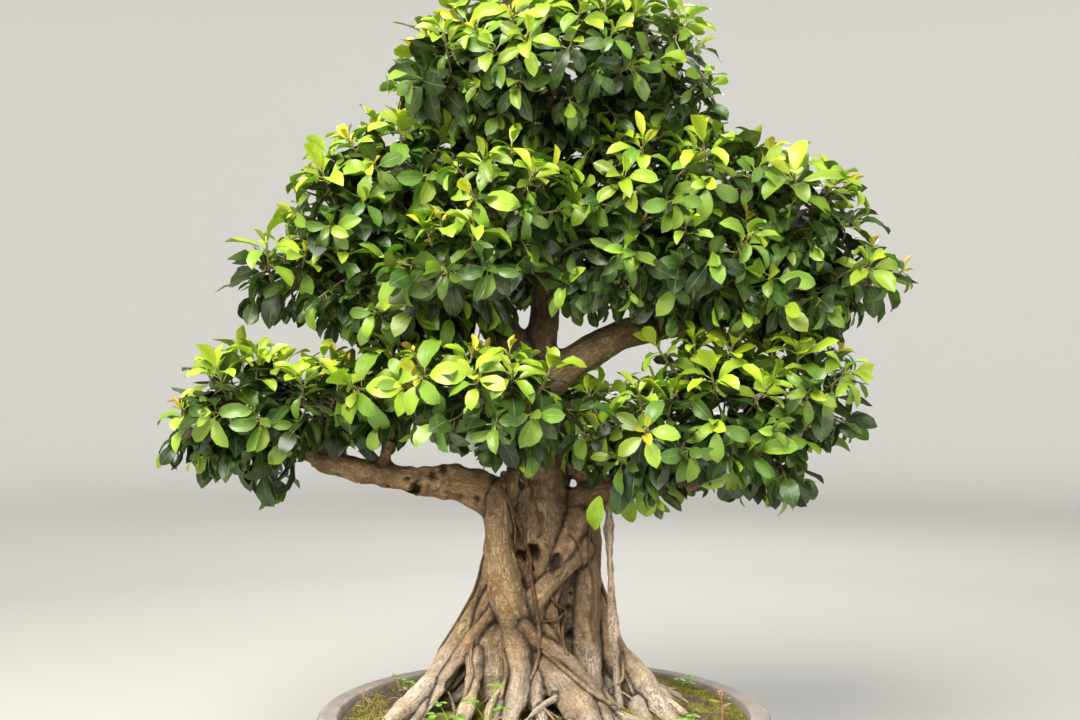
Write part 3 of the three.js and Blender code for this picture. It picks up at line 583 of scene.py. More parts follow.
def soil_material(settings):
    """Crumbly potting soil, damp and dark brown, under a felt of yellow-green moss whose fibres are drawn
    coarser than they are."""
    material, add, place = new_material("soil_and_moss_felt")
    crumbs = add("TexNoise", lumps_of(place, 5, 5, 0.7))
    fibres = add("TexNoise", lumps_of(place, 1.8, 3))
    patches = add("TexNoise", lumps_of(place, 18, 3))
    earth = add("ValToRGB", [crumbs], stops=[(0.3, "#241a10"), (0.5, settings.earth), (0.72, "#7c6347")])
    felt = add("ValToRGB", [patches], stops=[(0.3, "#4d5014"), (0.5, settings.moss), (0.7, "#94912c")])
    threads = add("ValToRGB", [fibres], stops=[(0.35, "#3a3d10"), (0.65, "#a3a03a")])
    felt = add("Mix", {0: 0.35, 6: felt, 7: threads}, 2, data_type="RGBA")
    moss = add("Attribute", result="Fac", attribute_name="moss")
    colour = add("Mix", {0: moss, 6: earth, 7: felt}, 2, data_type="RGBA")
    height = weighted(add, (crumbs, 1.0), (fibres, 0.5))
    add("OutputMaterial", [surface(add, colour, 0.95, height, 1.6)])
    return material


def bark_material(settings):
    """Ficus bark: thin and matt, tan and mottled with grey weathering. Faint fibres run along each strand,
    pale flecks, pits and small corky dots lie on it, and painted shade darkens the creases and hollows. Its
    tone also carries painted shade and painted light. The lowest roots are bleached. Flecks, pits and dots are
    drawn coarser than they are, so that they show."""
    material, add, place = new_material("ficus_bark")
    grain = add("Attribute", result="Vector", attribute_name="grain")
    # Each strand's own tone, times painted shade and painted light
    tone = add("Attribute", result="Color", attribute_name="tone")
    pale = add("Attribute", result="Fac", attribute_name="pale")
    # Painted shade in the creases and hollows, from 0 to 1
    crevice = add("Attribute", result="Fac", attribute_name="crevice")
    drawn = add("Mapping", {"Vector": grain, "Scale": (1, 1, 0.2)})
    crossed = add("Mapping", {"Vector": grain, "Scale": (0.3, 0.3, 1)})
    fibres = add("TexNoise", lumps_of(drawn, 7, 5, 0.65, 0.5))
    wrinkles = add("TexNoise", lumps_of(crossed, 5, 4, 0.6, 0.8))
    clouds = add("TexNoise", lumps_of(place, 34, 5, 0.62, 0.4))
    flecks = add("TexNoise", lumps_of(place, 6, 4, 0.65))
    fine = add("TexNoise", lumps_of(place, 2.6, 3))
    dots = add("TexVoronoi", {"Vector": place, "Scale": 1000 / 6, "Randomness": 1.0}, "Distance")
    cork = add("ValToRGB", [dots], stops=[(0.08, "#ffffff"), (0.2, "#000000")])
    split = add("Math", [add("Math", (fibres, 0.5), operation="SUBTRACT")], operation="ABSOLUTE")
    thin = add("ValToRGB", [split], stops=[(0.004, "#ffffff"), (0.022, "#000000")])
    cracked = add("ValToRGB", [clouds], stops=[(0.45, "#000000"), (0.6, "#ffffff")])
    cracks = add("Math", (thin, cracked), operation="MULTIPLY")

    tan = [(0.34, settings.dark), (0.47, settings.colour), (0.62, settings.light)]
    colour = add("ValToRGB", [clouds], stops=tan)
    streaks = add("ValToRGB", [fibres], stops=[(0.36, "#4b3520"), (0.52, "#8b6e48"), (0.68, "#b79b70")])
    colour = add("Mix", {0: 0.34, 6: colour, 7: streaks}, 2, data_type="RGBA")
    grey = [(0.34, "#968775"), (0.5, settings.pale), (0.66, "#ece5da")]
    bleached = add("ValToRGB", [clouds], stops=grey)
    bleached = add("Mix", {0: 0.25, 6: bleached, 7: streaks}, 2, data_type="RGBA")
    colour = add("Mix", {0: pale, 6: colour, 7: bleached}, 2, data_type="RGBA")
    flecked = add("ValToRGB", [flecks], stops=[(0.54, "#000000"), (0.64, "#ffffff")])
    colour = cover(add, colour, flecked, 0.42, "#d2b98c")
    pitted = add("ValToRGB", [flecks], stops=[(0.3, "#ffffff"), (0.38, "#000000")])
    colour = cover(add, colour, pitted, 0.5, "#4d3c28")
    colour = cover(add, colour, cork, 0.5, "#cfae7c")
    crumbs = add("ValToRGB", [fine], stops=[(0.36, "#a89a88"), (0.5, "#e8e2d8"), (0.62, "#ffffff")])
    colour = add("Mix", {0: 0.45, 6: colour, 7: crumbs}, 2, data_type="RGBA", blend_type="MULTIPLY")
    # Multiplied by the tone, which carries painted shade and painted light
    colour = add("Mix", {0: 1.0, 6: colour, 7: tone}, 2, data_type="RGBA", blend_type="MULTIPLY")
    # Painted shade: creases and hollows drawn nearly black
    colour = cover(add, colour, crevice, 0.9, "#1e140a")
    colour = cover(add, colour, cracks, 0.4, "#3a2c1d")
    height = weighted(add, (fibres, 0.8), (wrinkles, 0.5), (flecks, 0.9), (fine, 0.3), (cork, 0.2),
                      (cracks, -0.5))
    roughness = add("Math", (fine, 0.2, 0.66), operation="MULTIPLY_ADD")
    add("OutputMaterial", [surface(add, colour, roughness, height, 2.8)])
    return material


def leaf_material(settings):
    """Leathery ficus leaves: waxy and glossy above, paler and matt below, thin enough to glow a little when
    lit from behind. The newest are orange and yellow, and they darken through lime to deep green. Side veins
    are drawn fewer and wider than they are, so that they show."""
    material, add, place = new_material("ficus_leaf_waxy")
    age, chance, along, under, aside = (
        add("Attribute", result="Fac", attribute_name=name)
        for name in ("age", "chance", "along", "under", "across")
    )
    across = add("Math", [aside], operation="ABSOLUTE")
    blotch = add("TexNoise", lumps_of(place, 14, 3))
    uneven = add("Math", (blotch, 0.16, -0.08), operation="MULTIPLY_ADD")
    aged = add("Math", (age, uneven), operation="ADD")
    # Past the oldest leaves, the ages run into painted shade, for leaves deep inside a pad or under it
    colour = add("ValToRGB", [aged], stops=[
        (0.0, "#d8763e"), (0.06, "#e8b544"), (0.13, settings.newest), (0.34, settings.young),
        (0.57, settings.grown), (0.78, settings.old), (0.91, settings.oldest), (1.0, settings.painted_shade),
    ])
    another = add("Math", [add("Math", (chance, 7.31), operation="MULTIPLY")], operation="FRACT")
    hue = add("MapRange", {"Value": chance, "To Min": 0.488, "To Max": 0.512})
    value = add("MapRange", {"Value": another, "To Min": 0.7, "To Max": 1.36})
    colour = add("HueSaturation", {"Color": colour, "Hue": hue, "Value": value})

    # The midrib, and side veins that leave it at a slant towards the tip
    off = add("Math", (across, 0.075), operation="DIVIDE")
    midrib = add("Math", (1.0, off), operation="SUBTRACT", use_clamp=True)
    lag = add("Math", (across, 0.22), operation="MULTIPLY")
    slant = add("Math", (along, lag), operation="SUBTRACT")
    wave = add("Math", [add("Math", (slant, 78.0), operation="MULTIPLY")], operation="SINE")
    crest = add("Math", (wave, 0.0), operation="MAXIMUM")
    veins = add("Math", (crest, 9.0), operation="POWER")
    pale = add("Mix", {0: 0.55, 6: colour, 7: "#c9d98a"}, 2, data_type="RGBA")
    colour = cover(add, colour, veins, 0.06, pale)
    colour = cover(add, colour, midrib, 0.5, pale)
    on_stalk = add("Math", (along, -0.5), operation="LESS_THAN")
    colour = cover(add, colour, on_stalk, 0.8, "#a7b04e")
    colour = cover(add, colour, under, 0.38, "#8fae4e")
    roughness = add("Math", (under, 0.25, settings.roughness), operation="MULTIPLY_ADD")
    height = weighted(add, (veins, 0.2), (midrib, -0.8), (blotch, 0.5))
    wax = {"Coat Weight": 0.5, "Coat Roughness": 0.34, "Coat IOR": 1.6}
    skin = surface(add, colour, roughness, height, 0.35, IOR=1.5, **wax)

    # The light that passes a leaf is yellower and stronger than the light that it throws back
    glow = add("Mix", {0: 1.0, 6: colour, 7: "#e8f08a"}, 2, data_type="RGBA", blend_type="MULTIPLY")
    glow = add("HueSaturation", {"Color": glow, "Saturation": 1.1, "Value": 1.4})
    through = add("BsdfTranslucent", {"Color": glow})
    add("OutputMaterial", [add("MixShader", (settings.glow, skin, through))])
    return material


# Pot and soil


def bowl_outline(inset, steps):
    """The inner wall from the soil line to the middle of the floor: a quarter-like curve, then flat."""
    mouth, floor = POT_MOUTH_RADIUS - inset, POT_FLOOR + inset
    corner, foot = [mouth - WALL_BEND, floor], [mouth - WALL_FOOT, floor]
    return bezier([mouth - WALL_LIP, SOIL_EDGE], corner, foot, steps)


def soil_height(x, y):
    """The mound: a flattened cosine falls off towards the pot, with low cushions of crossed sines on it."""
    out = np.minimum(np.hypot(x, y) / (POT_MOUTH_RADIUS - WALL_LIP), 1)
    mound = SOIL_EDGE + (SOIL_TOP - SOIL_EDGE) * np.maximum(np.cos(out * np.pi / 2), 0) ** 0.8
    broad = np.sin(x * 0.047 + 1.1) * np.cos(y * 0.052 - 0.6)
    small = np.sin(x * 0.11 - y * 0.09 + 2.3)
    return mound + SOIL_ROUGHNESS * (broad + 0.6 * small) * (1 - out**6)


def ground_at(x, y):
    """The height of the soil at one place."""
    return soil_height(np.array([x]), np.array([y]))[0]


def moss_share(x, y):
    """Where moss grows, from 0 to 1: patches of noise, drawn out of line by a second noise so that
    no edge runs straight, and closed round the edge of the soil."""
    flat = np.stack([x, y, np.zeros_like(x)], -1)
    drift = np.stack([layered(flat, 44, 3, 6.0), layered(flat, 44, 3, 7.0), np.zeros_like(x)], -1)
    edge = 0.35 * ease(np.hypot(x, y), 150, 230)
    return ease(layered(flat + 60 * drift, 52, 3, 4.0) + edge, 0.0, 0.3)


class PotSettings(PropertyGroup):
    """The pot's finish."""

    colour: tint("Clay", "Colour of the clay", "#918780")
    dark: tint("Dark clay", "Colour of its darker clouds", "#736a63")
    sides: IntProperty(name="Sides", description="Steps round the turned body", default=180, min=36)


class SoilSettings(PropertyGroup):
    """The soil, its moss and what grows in it."""

    earth: tint("Soil", "Colour of the bare soil", "#4a3826")
    moss: tint("Moss", "Colour of the moss", "#6d6a1f")
    tufts: IntProperty(name="Moss tufts", description="Places tried for moss tufts", default=7000, min=0)
    grains: IntProperty(name="Grains", description="Places tried for grains of soil", default=1400, min=0)


class WoodSettings(PropertyGroup):
    """The trunk, roots and branches."""

    detail: length("Detail", "Size of the faces that the strands are fused with", 3.05)
    colour: tint("Bark", "Colour of the bark", "#8d6d45")
    light: tint("Light bark", "Colour of its lighter patches", "#b4966b")
    dark: tint("Dark bark", "Colour of its darker patches", "#5b4025")
    pale: tint("Bleached roots", "Colour of the lowest roots", "#cfc4b4")


class LeafSettings(PropertyGroup):
    """The leaves and how close their shoots stand."""

    spacing: length("Shoot spacing", "Least distance between the tips of neighbouring shoots", 34)
    newest: tint("Newest leaves", "Colour of leaves that have just opened", "#d9d740")
    young: tint("Young leaves", "Colour of soft young leaves", "#b4cf36")
    grown: tint("Grown leaves", "Colour of this year's leaves", "#9bbb36")
    old: tint("Old leaves", "Colour of last year's leaves", "#739930")
    oldest: tint("Oldest leaves", "Colour of the oldest leaves", "#4f7428")
    # Painted shade: the colour of leaves deep inside a pad and under it
    painted_shade: tint("Shaded leaves", "Colour of old leaves deep inside a pad", "#263c12")
    roughness: FloatProperty(name="Roughness", description="Gloss of the waxy upper side", default=0.4)
    glow: FloatProperty(name="Glow", description="Share of light that passes a leaf", default=0.3)


class StageSettings(PropertyGroup):
    """The camera and the studio."""

    distance: length("Camera distance", "From the pot's middle to the camera", 1633)
    height: length("Camera height", "Above the ground", 524)
    # Painted shade: darker under the lights, so that the lit floor looks as pale as the backdrop far off
    floor: tint("Floor", "Colour of the floor under the lights", "#b3b1ad")
    backdrop: tint("Backdrop", "Colour of the floor far off, where it turns up", "#f4f3f1")
    power: FloatProperty(name="Light", description="Strength of the overhead light, in watts", default=190)


def pot_profile():
    """The pot's section as places of radius and height: from the drain under the foot ring, up the outer
    wall, over the rim and down the bowl back to the drain."""
    rim_foot = POT_HEIGHT - RIM_DEPTH
    wall_top = POT_RADIUS - RIM_OVERHANG
    return np.vstack([
        [[DRAIN_RADIUS, POT_UNDERSIDE + 1], [DRAIN_RADIUS + 1, POT_UNDERSIDE]],
        [[FOOT_INNER_RADIUS - 2, POT_UNDERSIDE], [FOOT_INNER_RADIUS, POT_UNDERSIDE - 2]],
        [[FOOT_INNER_RADIUS + 1.5, 1.5], [FOOT_INNER_RADIUS + 3.5, 0], [FOOT_OUTER_RADIUS - 2, 0]],
        [[FOOT_OUTER_RADIUS, 1.5], [FOOT_OUTER_RADIUS + 3, POT_UNDERSIDE - 1]],
        bezier([FOOT_OUTER_RADIUS + 4, POT_UNDERSIDE + 2], [wall_top - 9, POT_FLOOR],
               [wall_top - 2, rim_foot - 4], 26),
        bezier([wall_top, rim_foot - 1], [wall_top + 1, rim_foot], [wall_top + 3, rim_foot], 4),
        bezier([POT_RADIUS - 5, rim_foot], [POT_RADIUS, rim_foot], [POT_RADIUS, rim_foot + 7], 6),
        bezier([POT_RADIUS, POT_HEIGHT - RIM_ROUNDING], [POT_RADIUS, POT_HEIGHT],
               [POT_RADIUS - RIM_ROUNDING, POT_HEIGHT], 8),
        bezier([POT_MOUTH_RADIUS + 3, POT_HEIGHT], [POT_MOUTH_RADIUS, POT_HEIGHT],
               [POT_MOUTH_RADIUS - 1, POT_HEIGHT - 3], 5),
        bowl_outline(0, 18),
        [[DRAIN_RADIUS + 1, POT_FLOOR], [DRAIN_RADIUS, POT_FLOOR - 1]],
    ])


def foot_notches(profile, turn, height):
    """Heights of the pot's points, with notches cut into the foot ring at equal turns. S-curves shape their
    ends."""
    quarter = 2 * np.pi / FOOT_NOTCH_COUNT
    off = np.abs((turn % quarter) - quarter / 2) * (FOOT_INNER_RADIUS + FOOT_OUTER_RADIUS) / 2
    notch = 1 - ease(off, FOOT_NOTCH_WIDTH / 2 - 3, FOOT_NOTCH_WIDTH / 2 + 3)
    on_foot = (profile[:, :1] > FOOT_INNER_RADIUS - 1) & (profile[:, :1] < FOOT_OUTER_RADIUS + 3.5)
    low = on_foot & (height < FOOT_NOTCH_HEIGHT)
    return np.where(low, height + (FOOT_NOTCH_HEIGHT - height) * notch, height)


class BONSAI_OT_pot(Operator):
    """The turned pot with its flat rim, foot ring and drain"""

    bl_idname = "bonsai.pot"
    bl_label = "Pot"

    def execute(self, context):
        settings = context.scene.bonsai_pot
        profile = pot_profile()
        shape = (len(profile), settings.sides)
        turn = turns(settings.sides)
        points = swung(profile, turn)
        points[..., 2] = foot_notches(profile, turn, points[..., 2])

        # Thrown by hand: the body strays from the round by a few tenths of a millimetre
        stray = layered(points.reshape(-1, 3), 90, 2, 2.0).reshape(shape)
        swell = np.where(profile[:, 1:] > POT_UNDERSIDE + 1, 0.35, 0.0) * (stray - 0.6)
        points[..., 0] += swell * np.cos(turn)
        points[..., 1] += swell * np.sin(turn)

        # The last ring meets the first, so the bowl goes round its drain like a ring
        index = np.arange(len(profile) * settings.sides).reshape(shape)
        across = np.roll(index, -1, 1)
        quads = np.stack([index, across, np.roll(across, -1, 0), np.roll(index, -1, 0)], -1).reshape(-1, 4)

        outer = ease(profile[:, 0], POT_RADIUS - 12, POT_RADIUS - 3)
        inner = ease(-profile[:, 0], -POT_MOUTH_RADIUS - 5, -POT_MOUTH_RADIUS)
        rim = ease(profile[:, 1], POT_HEIGHT - 6, POT_HEIGHT) * (outer + inner)
        rubbed = layered(points.reshape(-1, 3), 24, 3, 6.0).reshape(shape)
        wear = np.clip(rim[:, None] * (0.6 + rubbed), 0, 1)
        pot = make_piece("pot_stoneware", (points.reshape(-1, 3), [quads]), clay_material(settings),
                         {"wear": wear.ravel()})
        hand_over(pot, "clay", "pot")

        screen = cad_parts["drain_screen"]
        screen.data.materials.clear()
        dust = [(0.4, "#1f2322"), (0.75, "#4a463d")]
        screen.data.materials.append(plain_material("polyethylene_moulded", dust, 6, 0.55, 0.2, 4))
        return {"FINISHED"}


class BONSAI_OT_soil(Operator):
    """The mound of soil with its felt of moss"""

    bl_idname = "bonsai.soil"
    bl_label = "Soil"

    def execute(self, context):
        sides, rings = 260, 88
        turn = turns(sides)
        radius = SOIL_RADIUS * (np.arange(1, rings + 1) / rings)[::-1, None]
        x, y = radius * np.cos(turn), radius * np.sin(turn)
        flat = np.stack([x, y, np.zeros_like(x)], -1)
        moss = moss_share(x, y)
        crumbs = 1.1 * layered(flat, 9, 3, 7.0) + 0.8 * layered(flat, 26, 2, 8.0)
        cushions = 3.2 * moss * (0.45 + 0.55 * np.abs(noise(flat, 15, 9.0)))
        fade = 1 - (radius / SOIL_RADIUS) ** 10
        top = np.stack([x, y, soil_height(x, y) + (crumbs + cushions) * fade], -1)
        under = swung(bowl_outline(SOIL_GAP, 10)[::-1][:-1], turn)
        lowest, highest = [0, 0, POT_FLOOR + 2], [0, 0, ground_at(0.0, 0.0)]
        shell = closed_rings(np.concatenate([under, top]), lowest, highest)
        share = np.concatenate([np.zeros(len(under) * sides), moss.ravel(), [0, 0]])
        soil = make_piece("soil_mossy", shell, soil_material(context.scene.bonsai_soil), {"moss": share})
        hand_over(soil, "soil", "soil")
        return {"FINISHED"}


# Wood


def faded_top(rows):
    """A strand that runs down the trunk, with a thin end added above it that leans into the trunk, so that
    no blunt end shows."""
    x, y, z, radius = rows[0]
    if radius < 8 or z < rows[-1][2]:
        return rows
    top = z + 2.2 * radius
    core = np.array(STRANDS["core"])
    offset = np.array([x, y]) - TRUNK_MIDDLE
    inside = 0.7 * np.interp(top, core[:, 2], core[:, 3]) / np.linalg.norm(offset)
    return [[*(TRUNK_MIDDLE + min(0.62, inside) * offset), top, 0.3 * radius], *rows]


def forks(rows, salt):
    """Two thinner roots that leave a root before its end and spread to both sides of it into the soil."""
    if rows[-1][2] > 105:
        return []
    path = curve_through(rows, 40)
    found = []
    for way in (-1, 1):
        start = path[int(22 + 8 * scatter(salt, 80 + way))]
        run = path[-1, :2] - path[26, :2]
        turn = way * (0.35 + 0.5 * scatter(salt, 83 + way))
        step = np.array([run[0] * math.cos(turn) - run[1] * math.sin(turn),
                         run[0] * math.sin(turn) + run[1] * math.cos(turn)])
        step = step / max(np.linalg.norm(step), 1) * (44 + 30 * scatter(salt, 86 + way))
        thick = max(2.6, 0.5 * start[3])
        sway = 0.16 * way * np.array([-step[1], step[0]])
        near = start[:2] + 0.35 * step + sway
        far = start[:2] + 0.75 * step + 0.6 * sway
        end = start[:2] + step
        low = soil_height(*np.array([near, far, end]).T)
        rise = max(0, start[2] - low[0])
        found.append([
            [*start[:2], start[2] - 2, 0.5 * thick],
            [*near, low[0] + 0.3 * thick + 0.3 * rise, thick],
            [*far, low[1], 0.7 * thick],
            [*end, low[2] - 5, 0.3 * thick],
        ])
    return found


def back_strands():
    """Thinner strands on the sides and the back, which the photograph doesn't show. Each runs down the trunk
    with a slight twist, about as far from its middle as the trunk is thick, and leaves it as a root."""
    height = np.array([374, 334, 288, 242, 202, 166, 138, 114, 94])
    out = np.array([32, 43, 51, 57, 65, 79, 102, 132, 164])
    thick = np.array([0.3, 0.8, 1.0, 1.0, 0.95, 0.9, 0.8, 0.6, 0.3])
    down = np.linspace(0, 1, len(height))
    first_angle, fan = -30, 248  # degrees, from the right-hand side round the back
    found = []
    for number in range(BACK_STRAND_COUNT):
        angle = math.radians(first_angle + fan * (number + 0.7 * scatter(number, 71)) / BACK_STRAND_COUNT)
        angle = angle + 0.9 * (scatter(number, 73) - 0.5) * down + 0.1 * np.sin(6 * down + number)
        radius = (6.5 + 6 * scatter(number, 74)) * thick
        flare = np.where(down > 0.6, 0.85 + 0.3 * scatter(number, 76), 1)
        reach = (out * (0.97 + 0.1 * scatter(number, 75)) * flare)[:, None]
        place = TRUNK_MIDDLE + reach * np.stack([np.cos(angle), np.sin(angle)], 1)
        rows = np.column_stack([place, height, radius])[int(3 * scatter(number, 72)) :]
        rows[0, :2] = 0.68 * rows[0, :2] + 0.32 * TRUNK_MIDDLE
        rows[0, 3] = 0.3 * rows[1, 3]
        found.append(rows.tolist())
    return found


def all_strands():
    """Every strand of the wood: the ones listed, with faded tops, their forks and those at the back."""
    found = [faded_top(rows) for rows in STRANDS.values()]
    for number, rows in enumerate(STRANDS.values()):
        found += forks(rows, number)
    return found + back_strands()


def wood_lines():
    """All strands as samples of their middle lines: place, radius, frame, length walked, strand number."""
    found = []
    for number, rows in enumerate(all_strands()):
        path = curve_through(rows, 6 * len(rows))
        line, radius = path[:, :3], np.maximum(path[:, 3], 0.5)
        along, side, other = frames_along(line)
        found.append((line, radius, side, other, along, distance_along(line), np.full(len(line), number)))
    return [np.concatenate(column) for column in zip(*found)]


def soften(points, edges, share, rounds):
    """Points moved part of the way to the middle of their neighbours, several times over."""
    count = len(points)
    ends = np.concatenate([edges, edges[:, ::-1]])
    degree = np.maximum(np.bincount(ends[:, 0], minlength=count), 1)[:, None]
    for _ in range(rounds):
        total = [np.bincount(ends[:, 0], points[ends[:, 1], axis], count) for axis in range(3)]
        points = points + share[:, None] * (np.stack(total, 1) / degree - points)
    return points


def strand_places(points, lines):
    """For each point: the nearest strand's number, the place in that strand's own frame, and how much
    farther off the skin of the next strand is."""
    line, radius, side, other, along, walked, number = lines
    results = []
    for part in np.array_split(points, max(1, len(points) // 4000)):
        depth = np.linalg.norm(part[:, None] - line[None], axis=2) - radius
        near = depth.argmin(1)
        nearest = depth[np.arange(len(part)), near]
        depth[number[None] == number[near][:, None]] = 1e3
        offset = part - line[near]
        local = np.stack([(offset * side[near]).sum(1), (offset * other[near]).sum(1),
                          walked[near] + (offset * along[near]).sum(1)], 1)
        results.append((number[near], local, depth.min(1) - nearest))
    return [np.concatenate(column) for column in zip(*results)]


def fused_strands(context, face_size):
    """All strands as one mesh: lumpy tubes that a voxel remesh joins, with softened joins."""
    tubes = []
    for number, rows in enumerate([*all_strands(), STUB]):
        greatest = max(row[3] for row in rows)
        sides = 28 if greatest > 15 else 20 if greatest > 8 else 12
        tubes.append(tube(rows, sides, 10 * len(rows), 0.12, number + 1.0))
    rough = make_piece("trunk_rough", merge(tubes), None)
    fuse = rough.modifiers.new("Fuse strands", "REMESH")
    fuse.mode = "VOXEL"
    fuse.voxel_size = face_size
    smooth = rough.modifiers.new("Smooth joins", "SMOOTH")
    smooth.factor = 0.5
    smooth.iterations = 3
    fused = bpy.data.meshes.new_from_object(rough.evaluated_get(context.evaluated_depsgraph_get()))
    bpy.data.objects.remove(rough)
    return fused


def bark_relief(points, grain, crevice, burl):
    """How far the bark stands out at each point, in mm: ribs along the strands, broad swells, burls with
    hollows in them, knots and pits, wrinkles across the strands, and creases between them. Thin branches
    have less of it, and the branches' bases have more lumps than the roots."""
    height = points[:, 2]
    ribs = layered(grain * [1, 1, 0.16], 10, 2, 1.0)
    wrinkles = layered(grain * [0.25, 0.25, 1], 9, 2, 3.0)
    lift = 1.3 * ribs + 2.8 * layered(points, 40, 3, 2.0)
    lift += 9 * np.clip(burl - 0.45, 0, 1) * ease(height, 230, 320) - 5 * ease(burl, 0.78, 0.9)
    lift += 3.2 * layered(points, 24, 2, 12.0) * ease(height, 335, 375)
    lift += 2.4 * np.clip(noise(points, 13, 6.0) - 0.25, 0, 1)
    lift -= 2.6 * np.clip(noise(points, 9, 7.0) - 0.4, 0, 1)
    lift -= (0.8 + 1.8 * ease(height, 330, 370)) * np.clip(wrinkles - 0.2, 0, 1)
    lift -= 1.6 * crevice * (1 - 0.6 * ease(height, 260, 380))
    return lift * (0.35 + 0.65 * ease(height, 620, 300))


def hollows(points, shift):
    """The points' shift with the hollows in the wood added, which push them away from the photo's side by a
    bell curve with a flat middle, and how deep in a hollow each lies, from 0 to 1, which paints shade into the
    hollows. Noise makes the hollows' outlines uneven."""
    uneven = 1 + 0.6 * layered(points, 8, 2, 13.0)
    deep = np.zeros(len(points))
    for x, y, z, radius, depth in HOLLOWS:
        away = np.linalg.norm((points - [x, y, z]) / [1, 2.4, 1.3], axis=1) * uneven
        sink = np.exp(-((away / radius) ** 4))
        shift = shift + depth * sink[:, None] * np.array([0, 1, 0])
        deep = np.maximum(deep, sink)
    return shift, deep


def bark_tones_and_shade(points, height, number, beyond, sunk, crevice):
    """What the bark's colour goes by: painted shade in the creases, broken up by noise, how bleached the wood
    is, and its own tone, which differs from strand to strand, times painted shade. Painted shade darkens it
    close to a neighbouring strand, towards the top under the leaves and in grooves. Painted light brightens
    ridges, and the tone is lighter low down."""
    patch = 0.5 + 0.5 * layered(points, 30, 2, 5.0)
    broken = ease(layered(points, 17, 2, 14.0), -0.75, 0.35)
    # Painted shade in the creases, broken up by noise and deepest where a point lies below its surroundings
    crevice = crevice * (0.25 + 0.85 * ease(sunk, -0.4, 0.7)) * (0.45 + 0.65 * broken)
    crevice = np.clip(np.maximum(crevice, 0.8 * ease(sunk, 0.5, 2.4)), 0, 1)

    low = ease(-height, -230, -120)
    pale = np.clip(low * (0.6 + 0.65 * patch) + 0.12 * patch, 0, 1)
    aerial = number == list(STRANDS).index("aerial_root")
    pale = np.where(aerial, np.maximum(pale, 0.5 + 0.2 * patch), pale)
    # Painted shade: the core strand, seen between the low roots, is drawn darker and less bleached there
    core_in_shade = (number == 0) & (height < 260)
    pale = np.where(core_in_shade, 0.2 * pale, pale)

    own, warm = scatter(number, 4.0)[:, None], scatter(number, 5.0)[:, None]
    tone = 0.74 + 0.22 * own + np.array([0.06, 0.0, -0.06]) * (warm - 0.3)
    # Painted shade: darker towards the top under the leaves and close to a neighbouring strand; lighter low
    # down
    shade = 1 - 0.3 * ease(height, 340, 470) + 0.16 * low - 0.36 * np.clip(1 - beyond / 16, 0, 1)
    # Painted shade in grooves and painted light on ridges
    shade = shade * (1 + 0.16 * ease(-sunk, 0.1, 1.2) - 0.2 * ease(sunk, 0.1, 1.2))
    return crevice, pale, tone * np.where(core_in_shade, 0.5, shade)[:, None]


class BONSAI_OT_trunk(Operator):
    """The trunk with its roots and branches, fused from their strands"""

    bl_idname = "bonsai.trunk"
    bl_label = "Trunk"

    def execute(self, context):
        settings = context.scene.bonsai_wood
        fused = fused_strands(context, settings.detail)
        points, faces = points_of(fused), faces_of(fused)
        normals = read_mesh(fused.vertices, "normal", 3, np.float32)
        edges = read_mesh(fused.edges, "vertices", 2)
        bpy.data.meshes.remove(fused)

        number, local, beyond = strand_places(points, wood_lines())
        grain = local + 173.0 * number[:, None]
        # How close a point lies to a crease between two strands: it carves the creases and later sets their
        # painted shade
        crevice = np.clip(1 - beyond / 5, 0, 1) ** 1.8
        blur = 0.05 + 0.6 * ease(points[:, 2], 200, 340) + 0.34 * crevice
        points = soften(points, edges, np.minimum(blur, 0.8), 14)
        burl = noise(points, 27, 11.0)
        height = points[:, 2]
        shift, deep = hollows(points, normals * bark_relief(points, grain, crevice, burl)[:, None])
        points = points + shift

        # How far a point lies below its surroundings, which sets painted shade in hollows and grooves and
        # painted light on ridges
        around = soften(points, edges, np.full(len(points), 0.8), 12)
        sunk = ((around - points) * normals).sum(1)
        crevice, pale, tone = bark_tones_and_shade(points, height, number, beyond, sunk, crevice)
        # Painted shade in the hollows of burls and in the listed hollows
        dark = np.maximum(0.75 * ease(burl, 0.78, 0.88), deep)
        # The bark carries painted shade for its creases and hollows, and its tone times painted shade and
        # painted light
        carried = {"grain": grain / 1000, "crevice": np.maximum(crevice, dark), "pale": pale, "tone": tone}
        trunk = make_piece("trunk_wood", (points, faces), bark_material(settings), carried)
        hand_over(trunk, "bark", "trunk")
        return {"FINISHED"}


def soil_rootlets():
    """Wiry rootlets that curl from the sides of the roots onto the soil."""
    line, thick, *_ = wood_lines()
    low = np.flatnonzero((line[:, 2] < ROOT_HEIGHT) & (line[:, 2] > 112) & (thick > 3))
    found = []
    for number in range(ROOTLET_COUNT):
        pick = low[int(scatter(number, 101) * len(low))]
        x, y, z = line[pick]
        turn = math.atan2(y - TRUNK_MIDDLE[1], x - TRUNK_MIDDLE[0]) + 2.2 * (scatter(number, 102) - 0.5)
        bend = 1.6 * (scatter(number, 103) - 0.5)
        reach = 26 + 44 * scatter(number, 104)
        radius = 1.1 + 1.5 * scatter(number, 105)
        rows = [[x, y, z, radius]]
        for part in range(1, 5):
            heading = turn + bend * part / 2
            x += reach / 4 * math.cos(heading)
            y += reach / 4 * math.sin(heading)
            ground = ground_at(x, y)
            above = max(0, z - ground) * (1 - part / 3) if part < 3 else 0
            rows.append([x, y, ground + above + radius * (1.2 - 0.6 * part), radius * (1 - 0.14 * part)])
        if math.hypot(x, y) < SOIL_RADIUS - 6:
            found.append(rows)
    return found


